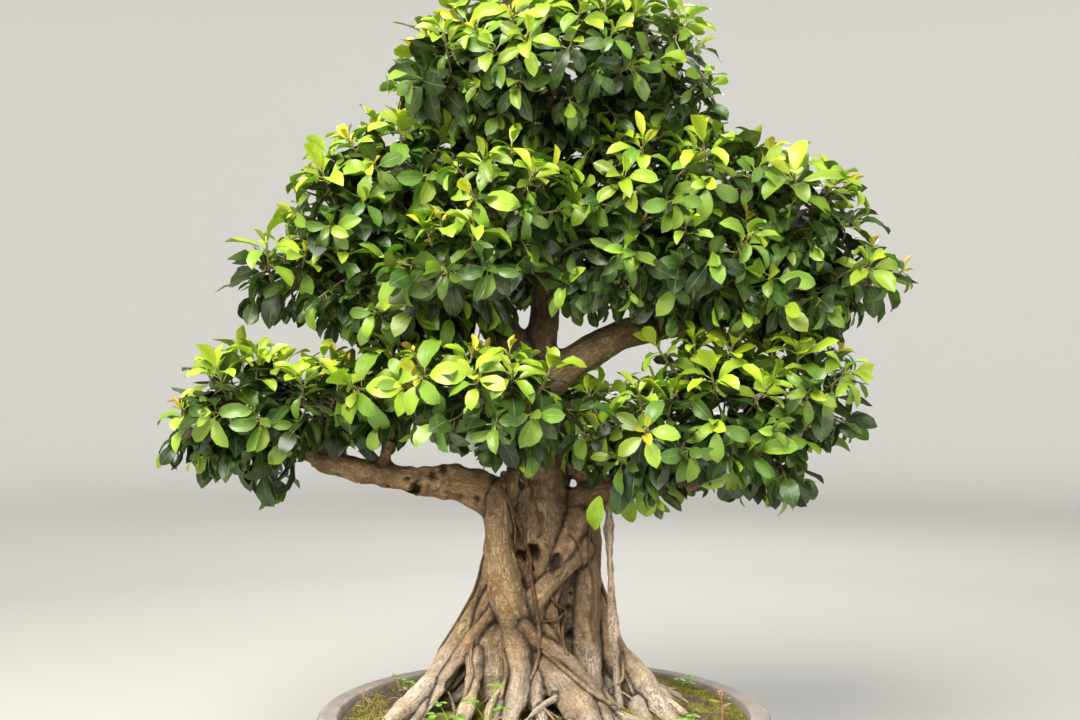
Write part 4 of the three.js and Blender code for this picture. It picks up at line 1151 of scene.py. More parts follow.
def laid_on_wood(wood, angle, radius, rows, index):
    """A thin root that is drawn as seen from a side, laid on the wood's points there: its line follows their
    nearest ones, evened out, wanders a little and sinks in at both ends."""
    path = curve_through(rows, 7 * len(rows))
    side = np.array([math.cos(math.radians(angle)), math.sin(math.radians(angle)), 0])
    towards = np.array([side[1], -side[0], 0])
    near = (np.abs(wood @ side - path[:, :1]) < 4) & (np.abs(wood[:, 2] - path[:, 1:]) < 4)
    depth = np.where(near, wood @ towards, -1e3).max(1)
    found = depth > -500
    steps = np.arange(len(path))
    depth = np.interp(steps, steps[found], depth[found])
    even = np.convolve(np.pad(depth, 3, mode="edge"), np.ones(7) / 7, mode="valid")
    ends = np.minimum(steps, steps[-1] - steps) / 5
    depth = np.maximum(even, depth - 2) + radius * (0.35 - 3 * np.clip(1 - ends, 0, 1) ** 2)
    wander = 1.5 * noise(np.stack([steps * 3.0, steps * 0, steps * 0 + 40 * index], 1), 14, 3.0)
    line = side * (path[:, :1] + wander[:, None]) + towards * depth[:, None]
    line[:, 2] = path[:, 1]
    thin = radius * (0.55 + 0.45 * np.sin(np.linspace(0.15, 0.9, len(line)) * np.pi))
    return tube(np.column_stack([line, thin]), 7, int(1.4 * len(line)), 0.15, index + 60.0)


class BONSAI_OT_vines(Operator):
    """Thin roots that lie on the trunk and cross its strands"""

    bl_idname = "bonsai.vines"
    bl_label = "Thin roots"

    def execute(self, context):
        wood = points_of(bpy.data.objects["trunk_wood"].data)
        wood = wood[wood[:, 2] < 430]
        surfaces = [laid_on_wood(wood, *vine, index) for index, vine in enumerate(VINES)]
        surfaces += [tube(rows, 7, 16, 0.15, salt + 90.0) for salt, rows in enumerate(soil_rootlets())]
        points, faces = merge(surfaces)
        low = ease(-points[:, 2], -230, -130)
        # The thin roots' own tone, paler low down where they are bleached; no painted shade lies in their
        # creases
        tone = np.array([0.4, 0.34, 0.28]) + 0.55 * low[:, None]
        carried = {"grain": points / 1000, "crevice": 0 * low, "pale": 0.1 + 0.6 * low, "tone": tone}
        vines = make_piece("thin_roots", (points, faces), bpy.data.materials["ficus_bark"], carried)
        hand_over(vines, "bark")
        return {"FINISHED"}


# Leaves


def over_balls(trial, weights, height):
    """Trials spread evenly over balls: which ball each falls on, by its weight, and its direction from the
    ball's middle, of which the height is given."""
    pick = fraction(trial / PLASTIC) * weights.sum()
    chosen = np.minimum((pick[:, None] >= np.cumsum(weights)).sum(1), len(weights) - 1)
    turn = 2 * np.pi * fraction(trial / PLASTIC**2)
    flat = np.sqrt(1 - height * height)
    return chosen, np.stack([flat * np.cos(turn), flat * np.sin(turn), height], 1)


def pad_shoots(lobes, spacing, trials, cad_trials):
    """Places and directions of a pad's shoots, by the CAD source's rule: trials are spread over the lobes by
    their area, and one is kept if it lies outside the other lobes and far enough from those kept. The first
    ones are the CAD source's own, and closer ones follow."""
    lobes = np.asarray(lobes, float)
    middle, half = lobes[:, :3], lobes[:, 3:]
    area = half[:, 0] * half[:, 1] + half[:, 0] * half[:, 2] + half[:, 1] * half[:, 2]
    trial = np.arange(1, trials + 1)
    chosen, ball = over_balls(trial, area, 1 - SHOOT_SPAN * fraction(trial / PLASTIC**3))
    place = middle[chosen] + half[chosen] * ball
    inside = np.linalg.norm((place[:, None] - middle) / half, axis=2) < 1
    inside[np.arange(trials), chosen] = False
    open_air = ~inside.any(1)
    axis = unit(unit(ball / half[chosen]) + [0, 0, SHOOT_LIFT])
    kept = []
    for number in np.flatnonzero(open_air):
        least = CAD_SHOOT_SPACING if number < cad_trials else spacing
        if not kept or np.linalg.norm(place[kept] - place[number], axis=1).min() >= least:
            kept.append(number)
    return trial[kept] + CAD_SHOOT_TRIALS - cad_trials, place[kept], axis[kept]


def leaf_grid():
    """One leaf's template: five rows along it and five columns across it for the upper side, a middle column
    for the lower side, a point at the base and one at the tip, and the corners of its faces."""
    rows = np.array([0.07, 0.26, 0.5, 0.76, 0.91])
    columns = np.array([-1, -0.5, 0, 0.5, 1])
    t = np.concatenate([np.repeat(rows, 5), rows, [0, 1.06]])
    v = np.concatenate([np.tile(columns, 5), np.zeros(5), [0, 0]])
    under = np.concatenate([np.zeros(25), np.ones(5), [0, 0]])
    upper = np.arange(25).reshape(5, 5)
    lower = np.stack([upper[:, 0], 25 + np.arange(5), upper[:, -1]], 1)
    base, tip = 30, 31

    def sheet(grid, flip):
        quads = np.stack([grid[:-1, :-1], grid[1:, :-1], grid[1:, 1:], grid[:-1, 1:]], -1).reshape(-1, 4)
        first = np.stack([np.full(len(grid[0]) - 1, base), grid[0, :-1], grid[0, 1:]], -1)
        last = np.stack([grid[-1, :-1], np.full(len(grid[0]) - 1, tip), grid[-1, 1:]], -1)
        tris = np.concatenate([first, last])
        return (tris[:, ::-1], quads[:, ::-1]) if flip else (tris, quads)

    top, bottom = sheet(upper, True), sheet(lower, False)
    rim = np.zeros(len(t), bool)
    rim[np.concatenate([upper[:, 0], upper[:, -1], [base, tip]])] = True
    return t, v, under, [np.concatenate([top[0], bottom[0]]), np.concatenate([top[1], bottom[1]])], rim


def repeat_faces(faces, points_each, copies):
    """A template's faces for each of many copies that follow one another."""
    starts = (np.arange(copies) * points_each)[:, None, None]
    return [(f[None] + starts).reshape(-1, f.shape[1]) for f in faces]


def carried_by(age, chance, across, along, under):
    """What every point of a leaf piece carries for the leaf material."""
    return {"age": age, "chance": chance, "across": across, "along": along, "under": under}


def leaf_blades(leaves):
    """Leaf blades as one surface. Each bends down in an arc from its base, is as wide as a power of a sine
    makes it, folds up along its midrib, waves at its margin, twists, and thins out towards its rim. A
    measure that isn't an array is the same for all of them."""
    t, v, under, faces, rim = leaf_grid()
    count = len(leaves["base"])
    size, width, curl, fold, twist, phase = (
        np.broadcast_to(leaves[key], count)[:, None]
        for key in ("length", "width", "curl", "fold", "twist", "phase")
    )
    ahead, above = leaves["ahead"], leaves["above"]
    aside = np.cross(above, ahead)
    bent = curl * t
    reach = size * t * np.sinc(curl * t / np.pi)
    drop = size * t * np.sinc(curl * t / 2 / np.pi) * np.sin(curl * t / 2)
    normal = np.cos(bent)[..., None] * above[:, None] + np.sin(bent)[..., None] * ahead[:, None]
    turned = twist * t
    across = np.cos(turned)[..., None] * aside[:, None] + np.sin(turned)[..., None] * normal
    normal = np.cos(turned)[..., None] * normal - np.sin(turned)[..., None] * aside[:, None]
    half = width / 2 * np.sin(np.pi * np.minimum(t, 1) ** 1.25).clip(0) ** 0.56
    sideways = half * v * np.cos(fold)
    rise = half * (np.abs(v) ** 1.2 * np.sin(fold) - 0.18 * v * v)
    rise = rise + 0.12 * half * np.sin(9 * t + phase) * np.abs(v)
    rise = rise - under * leaves["thickness"] * (1 - v * v)
    points = (leaves["base"][:, None] + reach[..., None] * ahead[:, None] - drop[..., None] * above[:, None]
              + sideways[..., None] * across + rise[..., None] * normal)
    age, chance = (np.repeat(np.broadcast_to(leaves[key], count), len(t)) for key in ("age", "chance"))
    carried = carried_by(age, chance, np.tile(v, count), np.tile(t, count), np.tile(under, count))
    return (points.reshape(-1, 3), repeat_faces(faces, len(t), count)), carried, np.tile(rim, count)


def three_corners(along, aside):
    """Three corners of a stem round each direction, at distance 1 from its line."""
    side = unit(np.cross(along, aside))
    other = np.cross(along, side)
    turn = turns(3)
    return np.cos(turn)[None, :, None] * side[:, None] + np.sin(turn)[None, :, None] * other[:, None]


def stalks(start, end, radius, age, chance):
    """Straight three-sided stalks from starts to ends, tapering a little, closed at both ends."""
    ring = three_corners(unit(end - start), [0.31, 0.17, 0.93])
    points = np.concatenate([start[:, None] + radius * ring, end[:, None] + 0.7 * radius * ring], 1)
    faces = [np.array([[0, 2, 1], [3, 4, 5]]), np.array([[0, 1, 4, 3], [1, 2, 5, 4], [2, 0, 3, 5]])]
    blank = np.zeros(6 * len(points))
    carried = carried_by(np.repeat(age, 6), np.repeat(chance, 6), blank, blank - 1, blank)
    return (points.reshape(-1, 3), repeat_faces(faces, 6, len(points))), carried, blank > 0


def ring_of_leaves(seed, place, axis, count, salt, tilt, reach, back, age):
    """Directions and sizes of the leaves in one ring round each shoot: count leaves at even turns that swing
    a little, at a tilt and reach of least and spread, each a step farther back on the shoot than the last.
    The shoots between those of the CAD source bear smaller leaves."""
    shoot = np.repeat(np.arange(len(seed)), count)
    leaf = np.tile(np.arange(count), len(seed))
    seeds = seed[shoot]
    own = leaf + 50 * salt
    start = 2 * np.pi * scatter(seeds, 1) + (salt > 0) * (0.4 + 0.9 * salt)
    turn = start + 2 * np.pi / count * (leaf + LEAF_SWING * (1 + salt) * (scatter(seeds, 10 + own) - 0.5))
    lean = np.radians(tilt[0] + tilt[1] * scatter(seeds, 30 + own))
    size = LEAF_LENGTH * (WHORL_SIZE_LEAST + WHORL_SIZE_SPREAD * scatter(seeds, 3))
    size = size * np.where(seeds <= CAD_SHOOT_TRIALS, 0.96, 0.66 + 0.22 * scatter(seeds, 4))
    up = axis[shoot]
    sideways = unit(np.cross([0.3, 0.95, 0], up))
    outward = np.cos(turn)[:, None] * sideways + np.sin(turn)[:, None] * np.cross(up, sideways)
    ahead = np.cos(lean)[:, None] * up + np.sin(lean)[:, None] * outward
    return {
        "shoot": shoot,
        "ring": np.full(len(shoot), salt),
        "base": place[shoot] + up * (TWIG_LENGTH - back - 3.2 * leaf)[:, None],
        "ahead": ahead,
        "above": square_to(up, ahead),
        "far": size * (reach[0] + reach[1] * scatter(seeds, 20 + own)),
        "age": age[0] + age[1] * scatter(seeds, 40 + own),
        "chance": scatter(seeds * 7 + leaf, 5 + salt),
    }


def pad_leaves(lobes, settings, salt, cad_trials):
    """All the leaves, leaf stalks and buds of one pad, with the places and directions of its shoots."""
    seed, place, axis = pad_shoots(lobes, settings.spacing * 1000, SHOOT_TRIALS, cad_trials)
    top = np.array([lobe[2] + lobe[5] for lobe in lobes]).max()
    sun = 0.42 + 0.62 * axis[:, 2] + 0.22 * (place[:, 2] - top) / 90 + 0.5 * (scatter(seed, 6) - 0.5)
    sun = np.clip(sun, 0, 1.1)
    outer_tilt = (LEAF_TILT_LEAST, LEAF_TILT_SPREAD)
    outer_reach = (LEAF_REACH_LEAST - 0.14, LEAF_REACH_SPREAD + 0.08)
    rings = [ring_of_leaves(seed, place, axis, WHORL, 0, outer_tilt, outer_reach, -3, (0.6, 0.32)),
             ring_of_leaves(seed, place, axis, 3, 1, (12, 34), (0.5, 0.42), -8, (0.24, 0.38)),
             ring_of_leaves(seed, place, axis, 3, 2, (80, 36), (0.72, 0.28), 14, (0.72, 0.24))]
    leaves = {key: np.concatenate([ring[key] for ring in rings]) for key in rings[0]}
    ring, chance, far, age = (leaves[key] for key in ("ring", "chance", "far", "age"))
    light = sun[leaves["shoot"]]
    seeds = seed[leaves["shoot"]] + salt * 31

    # Leaves in the shade are older and darker, and some shoots in the sun have just opened small new ones. The
    # ages also paint light on top of a pad and shade under it, where they reach the painted shade colour.
    age = np.clip(age + np.choose(ring, [0.72, 0.7, 0.3]) * (0.45 - light), 0.22 + 0.2 * chance, 1)
    fresh = (ring == 1) & (light > 0.5) & (scatter(seeds, 8) > 0.66)
    age = np.where(fresh, age * 0.35, age)
    far = np.where(fresh, far * 0.66, far)
    # A shoot that hangs turns its leaves over, so that their upper sides still face the sky
    above = np.where(leaves["above"][:, 2:] < -0.25, -leaves["above"], leaves["above"])
    # Grown leaves sag under their own weight, and young ones on top stand up
    sag = 0.36 * age**1.5 - 0.75 * ease(light, 0.65, 1.05) * scatter(seeds * 13, 14 + ring)
    ahead = unit(leaves["ahead"] - np.array([0, 0, 1]) * sag[:, None])
    above = square_to(above, ahead)

    stalk = np.minimum(0.2 * far, 9.5)
    start = leaves["base"]
    base = start + ahead * stalk[:, None]
    size = far - stalk
    young = ease(-age, -0.5, -0.1)
    blades = leaf_blades({
        "base": base, "ahead": ahead, "above": above, "length": size, "age": age, "chance": chance,
        "width": size * (0.52 + 0.15 * scatter(seeds * 3, 9 + ring)),
        "curl": 0.42 + 1.2 * chance - 0.4 * young,
        "fold": 0.18 + 0.58 * scatter(seeds * 5 + leaves["shoot"], 11) + 0.15 * young,
        "twist": 0.9 * (scatter(seeds * 11, 12 + ring) - 0.5),
        "phase": 6.28 * chance, "thickness": LEAF_THICKNESS,
    })
    stems = stalks(start - ahead * 1.5, base + ahead * 3 - above * 0.3, 0.9, age, chance)
    tip = place + axis * (TWIG_LENGTH + 4)
    bud = axis * (9 + 6 * scatter(seed, 15))[:, None]
    buds = stalks(tip, tip + bud, 1.5, 0.1 + 0.3 * scatter(seed, 16), scatter(seed, 17))
    return [blades, stems, buds], place, axis


def inner_leaves(lobes, salt, share):
    """Leaves inside a pad, painted dark as shade by an age past that of the oldest leaves: places spread
    through its lobes, in all directions.
    """
    lobes = np.asarray(lobes, float)
    bulk = lobes[:, 3] * lobes[:, 4] * lobes[:, 5]
    count = int(share * (lobes[:, 3] * lobes[:, 4]).sum())
    trial = np.arange(1, count + 1) + 1000 * salt
    chosen, ball = over_balls(trial, bulk, 2 * fraction(trial / PLASTIC**3) - 1)
    deep = (0.35 + 0.5 * scatter(trial, 21)) ** 0.7
    spin = 2 * np.pi * scatter(trial, 22)
    ahead = unit(ball + 0.9 * np.stack([np.cos(spin), np.sin(spin), scatter(trial, 23) - 0.7], 1))
    above = unit(np.cross(np.cross(ahead, [0.1, 0.2, 1]), ahead))
    size = 41 + 14 * scatter(trial, 24)
    chance = scatter(trial, 25)
    return leaf_blades({
        "base": lobes[chosen, :3] + lobes[chosen, 3:] * ball * deep[:, None],
        "ahead": ahead, "above": np.where(above[:, 2:] < 0, -above, above), "length": size,
        "width": size * 0.54, "curl": 0.3 + 0.6 * chance, "fold": 0.15 + 0.2 * chance,
        "twist": 1.4 * (chance - 0.5), "phase": 6.28 * chance, "thickness": LEAF_THICKNESS,
        # Their age lies past the oldest leaves' colour, which paints shade on them
        "age": 0.94 + 0.1 * chance, "chance": chance,
    })


def hanging_leaves(rows):
    """Leaves that hang straight down and show their upper sides to the front."""
    x, y, z, size, lean, age = np.array(rows).T
    ahead = unit(np.stack([lean, -0.25 + 0 * x, -1 + 0 * x], 1))
    chance = scatter(x, 91)
    return leaf_blades({
        "base": np.stack([x, y, z], 1), "ahead": ahead, "above": square_to(np.array([0, -1, 0.3]), ahead),
        "length": size, "width": 0.6 * size, "curl": 0.9 + 0.3 * chance, "fold": 0.5, "twist": 0.9 * chance,
        "phase": 6 * chance, "thickness": LEAF_THICKNESS, "age": age, "chance": chance,
    })


def twig_network(place, axis):
    """Twigs from the wood to each shoot. A shoot's twig springs from the nearest sample of the wood, or from
    an earlier shoot's inner end if that is nearer, and carries on to the shoot's tip."""
    line, radius, *_ = wood_lines()
    nodes = line[(line[:, 2] > 360) & (radius < 26)]
    inner = place - axis * 26
    order = np.linalg.norm(inner[:, None] - nodes[None], axis=2).min(1).argsort()
    thick = np.full(len(nodes), 3.4)
    surfaces = []
    for one in order:
        away = np.linalg.norm(nodes - inner[one], axis=1)
        parent = away.argmin()
        start, finish = nodes[parent], place[one] + axis[one] * (TWIG_LENGTH + 5)
        middle = (start + inner[one]) / 2 + [0, 0, 0.12 * away[parent]]
        size = max(1.5, min(3.2, thick[parent] * 0.8))
        rows = [[*start, size * 1.1], [*middle, size], [*inner[one], size * 0.85], [*finish, 1.3]]
        if away[parent] < 4:
            del rows[1]
        surfaces.append(tube(rows, 5, 7))
        nodes = np.vstack([nodes, inner[one]])
        thick = np.append(thick, size * 0.85)
    return merge(surfaces)


class BONSAI_OT_foliage(Operator):
    """The leafy pads: shoots on twigs, each with rings of older and younger leaves round its bud"""

    bl_idname = "bonsai.foliage"
    bl_label = "Foliage"

    def execute(self, context):
        settings = context.scene.bonsai_leaves
        # Young twigs have thin grey-brown bark, matt and faintly mottled
        twig_bark = plain_material(
            "ficus_twig_bark", [(0.3, "#4a3b27"), (0.55, "#75624a"), (0.75, "#94846a")], 3, 0.8, 0.4
        )
        leaf = leaf_material(settings)
        for salt, (name, lobes) in enumerate(PADS.items()):
            parts, place, axis = pad_leaves(lobes, settings, salt, CAD_SHOOT_TRIALS)
            parts.append(inner_leaves(lobes, salt, INNER_SHARE))
            if name in SPRAYS:
                more, more_places, more_axes = pad_leaves(SPRAYS[name], settings, salt + 20, 0)
                parts += more
                place, axis = np.vstack([place, more_places]), np.vstack([axis, more_axes])
            if name in HANGING:
                parts.append(hanging_leaves(HANGING[name]))
            twigs = twig_network(place, axis)
            blank = np.zeros(len(twigs[0]))
            parts.append((twigs, carried_by(*[blank] * 5), blank > 0))
            surfaces, carried, sharp = zip(*parts)
            whole = merge(surfaces)
            together = {key: np.concatenate([each[key] for each in carried]) for key in carried[0]}
            piece = make_piece(name + "_leaves", whole, leaf, together, True, np.concatenate(sharp))
            piece.data.materials.append(twig_bark)
            first_corner = np.concatenate([f[:, 0] for f in whole[1]])
            on_twig = first_corner >= len(whole[0]) - len(twigs[0])
            piece.data.polygons.foreach_set("material_index", on_twig.astype(np.int32))
            hand_over(piece, "leaf", "foliage_" + name)
        return {"FINISHED"}


# What grows in the soil


def spikes(base, tip, radius):
    """Three-sided spikes from bases to tips, closed below."""
    ring = three_corners(unit(tip - base), [0.31, 0.93, 0.17])
    points = np.concatenate([base[:, None] + radius * ring, tip[:, None]], 1)
    faces = [np.array([[0, 2, 1], [0, 1, 3], [1, 2, 3], [2, 0, 3]])]
    return points.reshape(-1, 3), repeat_faces(faces, 4, len(points))


def spread_on_soil(trials, salt):
    """Places spread evenly over the soil, left out where a root stands. Angle and radius, the radius by its
    square root, go by fractions of an index times the two even shares."""
    index = np.arange(1, trials + 1) + 997 * salt
    radius = (SOIL_RADIUS - 4) * np.sqrt(fraction(index * EVEN_SHARES[0]))
    turn = 2 * np.pi * fraction(index * EVEN_SHARES[1])
    x, y = radius * np.cos(turn), radius * np.sin(turn)
    place = np.stack([x, y, soil_height(x, y)], 1)
    line, thick, *_ = wood_lines()
    low = line[:, 2] < ROOT_HEIGHT
    clear = (np.linalg.norm(place[:, None] - line[low], axis=2) - thick[low]).min(1) > 1.5
    return index[clear], place[clear]


def moss_tufts(trials):
    """Tufts of four short spikes each, where the moss grows."""
    index, place = spread_on_soil(trials, 1)
    mossy = moss_share(place[:, 0], place[:, 1]) > 0.35
    tuft = np.repeat(index[mossy], 4)
    each = np.tile(np.arange(4), mossy.sum())
    turn = 2 * np.pi * scatter(tuft, 31 + each)
    out = np.stack([np.cos(turn), np.sin(turn), np.zeros(len(turn))], 1)
    aside = out * (1.6 * scatter(tuft, 36 + each))[:, None]
    base = np.repeat(place[mossy], 4, axis=0) + aside + [0, 0, 0.5]
    tall = (2.6 + 2.8 * scatter(tuft, 41 + each))[:, None]
    return spikes(base, base + out * (0.5 * tall) + UP * tall, 0.55)


def soil_grains(trials):
    """Loose angular grains of soil: one many-faced lump, stretched differently for each."""
    index, place = spread_on_soil(trials, 2)
    corner = unit(np.array([[1, 1, 1], [1, -1, -1], [-1, 1, -1], [-1, -1, 1], [1, 0, -0.2], [-1, 0, 0.2],
                            [0, 1, 0.3], [0, -1, -0.3]], float))
    hull = np.array([[0, 4, 7], [4, 1, 7], [0, 6, 4], [4, 6, 1], [6, 2, 1], [6, 5, 2], [0, 3, 6], [3, 5, 6],
                     [0, 7, 3], [7, 5, 3], [7, 1, 5], [1, 2, 5]])
    size = (0.7 + 2.0 * scatter(index, 51) ** 2)[:, None, None]
    stretch = 0.7 + 0.6 * scatter(index[:, None] + 13 * np.arange(8), 52)[..., None]
    points = place[:, None] + corner * size * stretch
    return points.reshape(-1, 3), repeat_faces([hull], 8, len(index))


def dry_grass():
    """Dry blades that arch over the soil, most of them at its left edge and every fourth one anywhere."""
    number = np.arange(GRASS_COUNT)
    anywhere = number % 4 == 0
    at_left = np.radians(150 + 75 * scatter(number, 61))
    turn = np.where(anywhere, 2 * np.pi * scatter(number, 64), at_left)
    radius = np.where(anywhere, 120 + 110 * scatter(number, 63), 196 + 44 * scatter(number, 62))
    blades = []
    for one in range(GRASS_COUNT):
        x, y = radius[one] * math.cos(turn[one]), radius[one] * math.sin(turn[one])
        z = ground_at(x, y)
        heading = 2 * math.pi * scatter(one, 65)
        reach, rise = 12 + 26 * scatter(one, 66), 6 + 16 * scatter(one, 67)
        step = np.array([math.cos(heading), math.sin(heading)]) * reach
        arch = ((0, -4, 0.7), (0.3, 0.75 * rise, 0.6), (0.75, rise, 0.5), (1, 0.7 * rise, 0.3))
        rows = [[x + part * step[0], y + part * step[1], z + up, thick] for part, up, thick in arch]
        if math.hypot(*rows[-1][:2]) < SOIL_RADIUS - 2:
            blades.append(tube(rows, 4, 8))
    return merge(blades)


def herb_material(name, dark, middle, light):
    """Thin soft herb leaves and stems or loose crumbs, matt, with shades that drift from one to the next."""
    return plain_material(name, [(0.3, dark), (0.5, middle), (0.72, light)], 9, 0.6, 0.2)


class BONSAI_OT_ground(Operator):
    """Moss tufts, grains of soil and dry grass"""

    bl_idname = "bonsai.ground"
    bl_label = "Ground cover"

    def execute(self, context):
        settings = context.scene.bonsai_soil
        moss = herb_material("moss_shoots", "#4a5213", "#77781f", "#a8a83c")
        crumbs = herb_material("soil_grains", "#2b2016", "#5b4733", "#8d7a60")
        straw = herb_material("dry_grass", "#66562f", "#907c46", "#b3a168")
        for piece in (
            make_piece("moss_tufts", moss_tufts(settings.tufts), moss, smooth=False),
            make_piece("soil_grains", soil_grains(settings.grains), crumbs, smooth=False),
            make_piece("dry_grass_blades", dry_grass(), straw),
        ):
            hand_over(piece, "soil")
        return {"FINISHED"}


def small_leaves(base, ahead, leaflet, width, curl):
    """Thin leaflets of a weed, with their upper sides up."""
    return leaf_blades({"base": base, "ahead": ahead, "above": square_to(UP, ahead), "length": leaflet,
                        "width": width, "curl": curl, "fold": 0.2, "twist": 0, "phase": 1,
                        "thickness": HERB_THICKNESS, "age": 1, "chance": 1})[0]


def clover_plant(x, y, tall, leaflet, heading, stalk_count):
    """A clover: leaning stalks from one foot, each with three heart-like leaflets."""
    ground = ground_at(x, y)
    parts = []
    for stalk in range(stalk_count):
        turn = heading + 2.4 * stalk
        share = 1 - 0.18 * stalk
        step = np.array([math.cos(turn), math.sin(turn)]) * tall * share
        top = np.array([x + 0.45 * step[0], y + 0.45 * step[1], ground + tall * share])
        middle = [x + 0.1 * step[0], y + 0.1 * step[1], ground + 0.4 * tall]
        parts.append(tube([[x, y, ground - 8, 0.9], [*middle, 0.7], [*top, 0.55]], 6, 10))
        spin = turn + turns(3)
        ahead = unit(np.stack([np.cos(spin), np.sin(spin), np.full(3, 0.12)], 1))
        parts.append(small_leaves(top + ahead * 0.8, ahead, leaflet, 0.92 * leaflet, 0.5))
    return merge(parts)


def sprout_surface():
    """The sprout: one upright stem with a few small leaves that stand round it, shorter towards its tip."""
    x, y, tall, radius, leaflet = SPROUT
    ground = ground_at(x, y)
    stem = tube([[x, y, ground - 9, radius], [x + 1, y, ground + tall / 2, radius * 0.8],
                 [x - 1, y - 1, ground + tall, radius * 0.6]], 8, 14)
    number = np.arange(5)
    spin = 0.7 + 2.4 * number
    ahead = unit(np.stack([np.cos(spin), np.sin(spin), 0.5 + 0.1 * number], 1))
    level = ground + tall * np.array([0.55, 0.7, 0.82, 0.93, 1.0])
    base = np.stack([x + 0 * level, y + 0 * level, level], 1)
    leaves = small_leaves(base, ahead, leaflet * (1 - 0.1 * number), 0.45 * leaflet, 0.6)
    return merge([stem, leaves])


class BONSAI_OT_weeds(Operator):
    """Clover and the red sprout in the soil"""

    bl_idname = "bonsai.weeds"
    bl_label = "Weeds"

    def execute(self, context):
        green = herb_material("clover_leaf", "#4c7f1c", "#76a52e", "#9dc64a")
        for name, row in CLOVERS.items():
            hand_over(make_piece(name + "_plant", clover_plant(*row, 4), green), "clover", name)
        small = merge([clover_plant(*row, 3) for row in SMALL_CLOVERS])
        hand_over(make_piece("small_clovers", small, green), "clover")
        red = herb_material("sprout_stem", "#8a5a48", "#b0785c", "#c9a06e")
        hand_over(make_piece("sprout_plant", sprout_surface(), red), "sprout", "sprout")
        return {"FINISHED"}


# Stage


def floor_surface():
    """A round floor that sweeps up by a quarter circle into a wall at its edge, open above."""
    flat_radius, sweep_radius, below = 3800, 2200, -0.5
    bend = np.linspace(0, np.pi / 2, 16)[:, None]
    centre = np.array([flat_radius, sweep_radius + below])
    curve = centre + sweep_radius * np.hstack([np.sin(bend), -np.cos(bend)])
    profile = np.vstack([[[flat_radius, below]], curve, [[6000, 5200], [6000.5, 5200]]])
    rings = swung(profile, turns(96))
    index = np.arange(rings[..., 0].size).reshape(rings.shape[:2])
    across = np.roll(index, -1, 1)
    quads = np.stack([index[:-1], index[1:], across[1:], across[:-1]], -1).reshape(-1, 4)
    flat = np.stack([np.full(len(index[0]), index.size), index[0], across[0]], -1)
    return np.concatenate([rings.reshape(-1, 3), [[0, 0, below]]]), [flat, quads]


def floor_material(settings):
    """A floor painted matt, plain and pale: painted darker under the lights and brightening into the backdrop
    far off, a painted shade and painted light that even out the lamps' light on it.
    """
    material, add, place = new_material("painted_floor")
    away = add("VectorMath", [place], "Value", operation="LENGTH")
    spread = add("Math", (away, 6.0), operation="DIVIDE", use_clamp=True)
    colour = add("ValToRGB", [spread], stops=[(0.3, settings.floor), (0.75, settings.backdrop)])
    add("OutputMaterial", [surface(add, colour, 0.9)])
    return material


def stand(name, data, place, angles):
    """A light or the camera in its place."""
    thing = bpy.data.objects.new(name, data)
    thing.location = place
    thing.rotation_euler = angles
    bpy.context.scene.collection.objects.link(thing)
    return thing


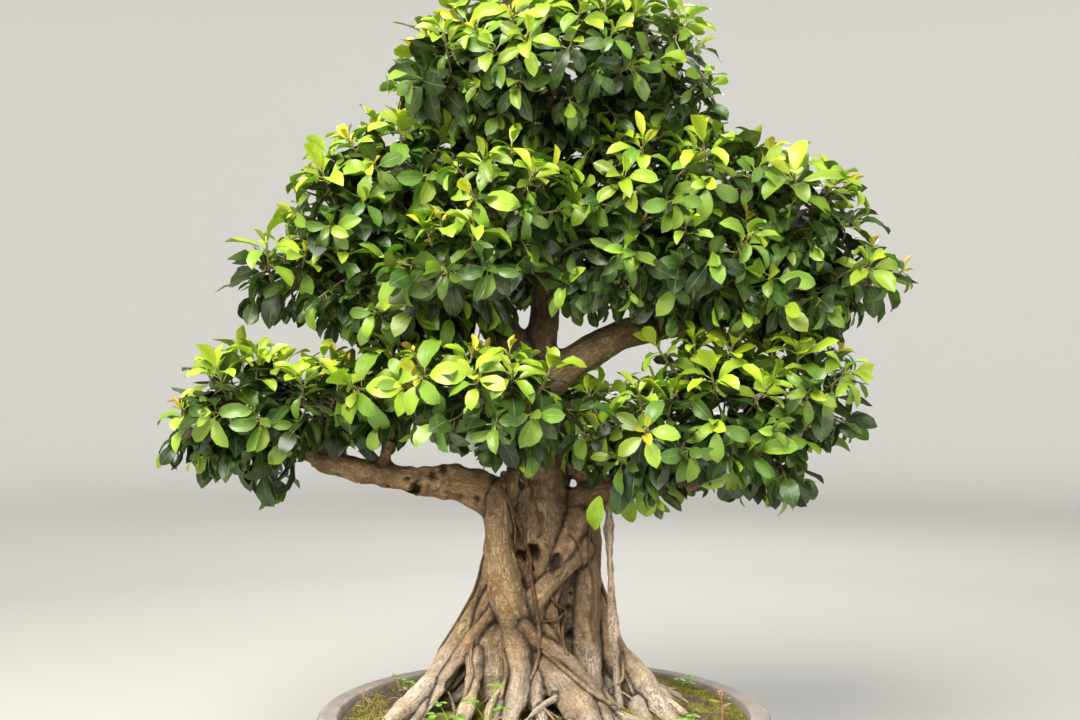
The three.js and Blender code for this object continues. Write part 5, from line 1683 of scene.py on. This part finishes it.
class BONSAI_OT_stage(Operator):
    """The floor that sweeps up into a backdrop, the lights and the camera"""

    bl_idname = "bonsai.stage"
    bl_label = "Stage"

    def execute(self, context):
        settings = context.scene.bonsai_stage
        make_piece("floor", floor_surface(), floor_material(settings))

        world = bpy.data.worlds.new("studio")
        world.use_nodes = True
        back = world.node_tree.nodes["Background"]
        back.inputs["Color"].default_value = linear("#eef0ef")
        back.inputs["Strength"].default_value = 0.46
        context.scene.world = world

        target = np.array([MIDDLE[0] / 1000, MIDDLE[1] / 1000, 0.5])
        for name, place, size, power, colour in (
            ("key", (-900, -1700, 2400), 2200, settings.power, "#fffaf0"),
            ("fill", (1500, -1900, 1300), 1500, settings.power * 0.09, "#f4f6fa"),
            ("back", (400, 1900, 1900), 1400, settings.power * 0.2, "#ffffff"),
        ):
            light = bpy.data.lights.new(name, "AREA")
            light.shape = "DISK"
            light.size = size / 1000
            light.energy = power
            light.color = linear(colour)[:3]
            spot = (np.array(place) + MIDDLE) / 1000
            # A light shines down its own Z
            stand(name, light, spot, Vector(target - spot).to_track_quat("-Z", "Y").to_euler())

        camera = bpy.data.cameras.new("camera")
        camera.sensor_width = SENSOR_WIDTH
        camera.lens = SENSOR_WIDTH * FOCAL_PIXELS / PHOTO_PIXELS
        place = ((MIDDLE[0] - CAMERA_ASIDE) / 1000, MIDDLE[1] / 1000 - settings.distance, settings.height)
        context.scene.camera = stand("camera", camera, place, (math.pi / 2, 0, 0))
        context.scene.view_settings.view_transform = "Standard"
        return {"FINISHED"}


STEPS = (
    ("bonsai_pot", BONSAI_OT_pot),
    ("bonsai_soil", BONSAI_OT_soil),
    ("bonsai_wood", BONSAI_OT_trunk),
    ("bonsai_wood", BONSAI_OT_vines),
    ("bonsai_leaves", BONSAI_OT_foliage),
    ("bonsai_soil", BONSAI_OT_ground),
    ("bonsai_soil", BONSAI_OT_weeds),
    ("bonsai_stage", BONSAI_OT_stage),
)
SETTINGS = {
    "bonsai_pot": PotSettings,
    "bonsai_soil": SoilSettings,
    "bonsai_wood": WoodSettings,
    "bonsai_leaves": LeafSettings,
    "bonsai_stage": StageSettings,
}


class BONSAI_PT_panel(Panel):
    """Lists the settings of the bonsai's parts and the steps that build them"""

    bl_idname = "BONSAI_PT_panel"
    bl_label = "Bonsai"
    bl_space_type = "VIEW_3D"
    bl_region_type = "UI"
    bl_category = "Bonsai"

    def draw(self, context):
        for key, group in SETTINGS.items():
            box = self.layout.box()
            for name in group.__annotations__:
                box.prop(getattr(context.scene, key), name)
            for owner, operator in STEPS:
                if owner == key:
                    box.operator(operator.bl_idname)


CLASSES = (*SETTINGS.values(), *[operator for _, operator in STEPS], BONSAI_PT_panel)


def register():
    """Makes the settings, the operators and the panel known to Blender."""
    for one in CLASSES:
        bpy.utils.register_class(one)
    for key, group in SETTINGS.items():
        setattr(bpy.types.Scene, key, PointerProperty(type=group))


def unregister():
    """Takes them back."""
    for key in SETTINGS:
        delattr(bpy.types.Scene, key)
    for one in reversed(CLASSES):
        bpy.utils.unregister_class(one)


def main():
    """Builds everything in order."""
    register()
    for _, operator in STEPS:
        getattr(bpy.ops.bonsai, operator.bl_idname.split(".")[1])()


if __name__ == "__main__":
    main()
